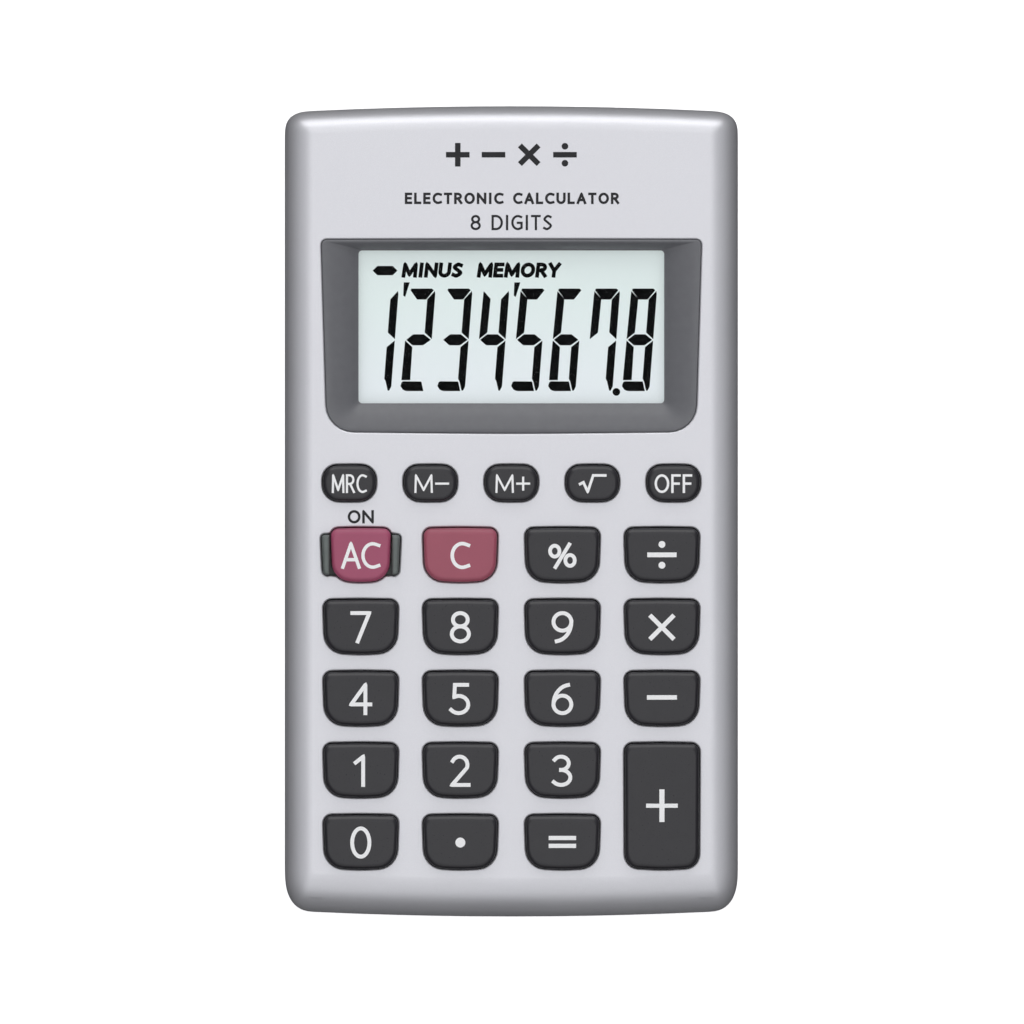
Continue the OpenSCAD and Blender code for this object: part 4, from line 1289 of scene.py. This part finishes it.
cell_low, cell_high = (1000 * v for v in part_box("battery_cell"))
_, nub_high = (1000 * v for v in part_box("cell_nub"))
cell_mid = (cell_low + cell_high) / 2
CELL_R = (cell_high.z - cell_low.z) / 2


def on_cell(a, b, h):
    return Vector((cell_low.x + h, cell_mid.y + a, cell_mid.z + b))


cell_length = cell_high.x - cell_low.x
jacket = Look("cell_jacket", coat_weight=0.5, coat_roughness=0.12)
band = jacket.axis(0).over(0.001 * (cell_high.x - 14.0), 0.0001)
line = jacket.axis(0).over(0.001 * (cell_high.x - 15.2), 0.0001) * (1 - band)
copper = jacket.mix(jacket.noise(900, 2.0), (0.52, 0.26, 0.10), (0.60, 0.32, 0.13))
ink = jacket.mix(jacket.noise(900, 2.0), (0.014, 0.015, 0.018), (0.022, 0.023, 0.027))
jacket.color(jacket.mix(line, jacket.mix(band, ink, copper), (0.75, 0.75, 0.74)))
jacket.feed(jacket.shader.inputs["Metallic"], 0.75 * band)
jacket.rough(0.26 + 0.1 * jacket.noise(700, 3.0))
cell = Form()
turned(
    cell,
    [(5.0, 0.25), (5.3, 0.03), (6.3, 0.0), (6.85, 0.15), (CELL_R, 0.6), (CELL_R, 1.4),
     (CELL_R - 0.03, 1.6), (CELL_R - 0.03, cell_length - 2.2), (CELL_R, cell_length - 2.0),
     (CELL_R, cell_length - 0.7), (6.8, cell_length - 0.15), (6.2, cell_length),
     (3.6, cell_length - 0.05), (3.4, cell_length - 0.3)],
    on_cell, 64,
)
cell.piece("aa_cell", jacket, "case", "cell_jacket", ["battery_cell"])
nickel = Look("nickel_plate", metallic=1.0)
brushed = nickel.noise(900, 3.0, 0.6, (1.0, 1.0, 9.0))
nickel.color(nickel.mix(brushed, (0.56, 0.55, 0.52), (0.70, 0.69, 0.66)))
nickel.rough(0.24 + 0.16 * brushed)
nickel.bump(brushed, 0.00001, 0.5)
nub = Form()
tip = nub_high.x - cell_low.x
turned(
    nub,
    [(3.5, cell_length - 0.4), (3.5, cell_length - 0.1), (2.7, cell_length), (2.68, tip - 0.25),
     (2.5, tip - 0.06), (2.2, tip), (1.2, tip), (1.1, tip - 0.08)],
    on_cell, 40,
)
turned(nub, [(5.1, 0.3), (5.1, 0.18), (4.6, 0.1), (0.6, 0.06)], on_cell, 40)
nub.piece("cell_ends", nickel, "case", "nickel", ["cell_nub"])

# ---- Contacts and leads ------------------------------------------------------------
# Two nickel-plated steel plates pressed into slots, the left one with a coil spring. A
# soldered lead in a plastic sleeve runs from each, over the partition, to the board.


def wire(form, path, r, sides=12):
    """A round bar along a path."""
    path = [Vector(p) for p in path]
    side, rings = None, []
    for i, p in enumerate(path):
        along = (path[min(i + 1, len(path) - 1)] - path[max(i - 1, 0)]).normalized()
        side = (along.orthogonal() if side is None else side - along * side.dot(along)).normalized()
        other = along.cross(side)
        turns = [2 * math.pi * k / sides for k in range(sides)]
        rings.append([p + r * (side * math.cos(a) + other * math.sin(a)) for a in turns])
    form.solid(rings)


finish_node(nickel, "positive_contact", "negative_contact")
spring_low, spring_high = (1000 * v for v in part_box("negative_spring"))
WIRE_R, TURNS, STEPS = 0.3, 3.5, 28
coil = Form()
path = []
for i in range(int(TURNS * STEPS) + 1):
    t, a = i / (TURNS * STEPS), 2 * math.pi * i / STEPS
    rise_t = min(1.0, max(0.0, (t - 0.08) / 0.84))
    x = spring_low.x + WIRE_R + (spring_high.x - spring_low.x - 2 * WIRE_R) * rise_t
    r = 4.4 - 2.2 * t
    path.append((x, cell_mid.y + r * math.cos(a), cell_mid.z + r * math.sin(a)))
wire(coil, path, WIRE_R, 10)
coil.piece("coil_spring", nickel, "case", "nickel", ["negative_spring"])

for name, node, slot, side, dark, light in (
    ("red_lead", "positive_lead", "lead_red", 1, (0.40, 0.012, 0.012), (0.50, 0.02, 0.02)),
    ("black_lead", "negative_lead", "lead_black", -1, (0.010, 0.010, 0.010), (0.022, 0.022, 0.022)),
):
    sleeving = Look(name + "_sleeve", coat_weight=0.15)
    sleeving.layers((800, 2.0, dark, light), (2500, 2.0, 0.38, 0.15))
    board_z = on_shell(0, 42.2).z - 7.0 / math.cos(SLOPE)
    route = [(28.2, 47.8, 9.8), (27.4, 46.9, 9.6), (27.4, 45.8, 9.4), (27.4, 44.4, 9.1),
             (27.2, 43.2, 9.0), (26.8, 42.4, 9.6), (26.8, 42.2, board_z - 0.05)]
    lead = Form()
    wire(lead, [(side * p[0], p[1], p[2]) for p in bend(route, 6)], 0.5)
    lead.piece(name, sleeving, "case", slot, [node])

# ---- Stage -------------------------------------------------------------------------
# A plain pale floor, a pale sheet far below it for low views, a large soft light overhead,
# long ones behind the display end and in front, and a dim room. The camera looks straight
# down, over a little more than the case's length.

FLOOR_REACH = 3.0
for name, level, tone, glow in (("floor", 0.0, 0.94, 0.65), ("sheet_below", -0.3, 0.0, 1.05)):
    pale = Look(name, roughness=0.9, base_color=(tone, tone, tone), emission_strength=glow,
                emission_color=(1.0, 1.0, 1.0))
    ground = bpy.data.meshes.new(name)
    square = ((-1, -1), (1, -1), (1, 1), (-1, 1))
    corners = [(FLOOR_REACH * i, FLOOR_REACH * j, level) for i, j in square]
    ground.from_pydata(corners, [], [(0, 1, 2, 3)])
    ground.materials.append(pale.material)
    floor = added(name, ground)
    floor.visible_diffuse = False
    floor.visible_glossy = False
    floor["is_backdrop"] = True

TARGET = on_face(0.1, -0.1) * 0.001
VIEW_LENGTH, CAMERA_RISE = 0.1605, 0.5


def softbox(name, place, size, power):
    lamp = bpy.data.lights.new(name, "AREA")
    lamp.shape, lamp.size, lamp.size_y = "RECTANGLE", *size
    lamp.energy = power
    made = added(name, lamp)
    made.location = place
    made.rotation_mode = "QUATERNION"
    made.rotation_quaternion = (TARGET - Vector(place)).to_track_quat("-Z", "Y")


softbox("overhead", (0.0, 0.15, 1.15), (1.0, 1.3), 3.8)
softbox("front", (0.0, -0.8, 0.75), (1.2, 0.9), 1.8)
softbox("behind", (0.0, 0.80, 0.53), (1.3, 0.50), 4.7)

room = bpy.data.worlds.new("room")
bpy.context.scene.world = room
room.use_nodes = True
sky = Wiring(room.node_tree)
height = sky.node("ShaderNodeSeparateXYZ", None, {0: sky.node("ShaderNodeTexCoord")}, output=2)
tones = [(0.0, (0.03, 0.03, 0.03)), (0.55, (0.46, 0.465, 0.48))]
sky.feed(
    sky.tree.nodes["Background"].inputs["Color"],
    sky.node("ShaderNodeValToRGB", {"stops": tones}, {0: height}),
)

lens_data = bpy.data.cameras.new("camera")
lens_data.type = "ORTHO"
lens_data.ortho_scale = VIEW_LENGTH
camera = added("camera", lens_data)
camera.location = TARGET + Vector((0.0, 0.0, CAMERA_RISE))
bpy.context.scene.camera = camera
bpy.context.scene.view_settings.view_transform = "Standard"

low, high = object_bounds()
{"cad": [list(cad_low), list(cad_high)], "visual": [list(low), list(high)]}
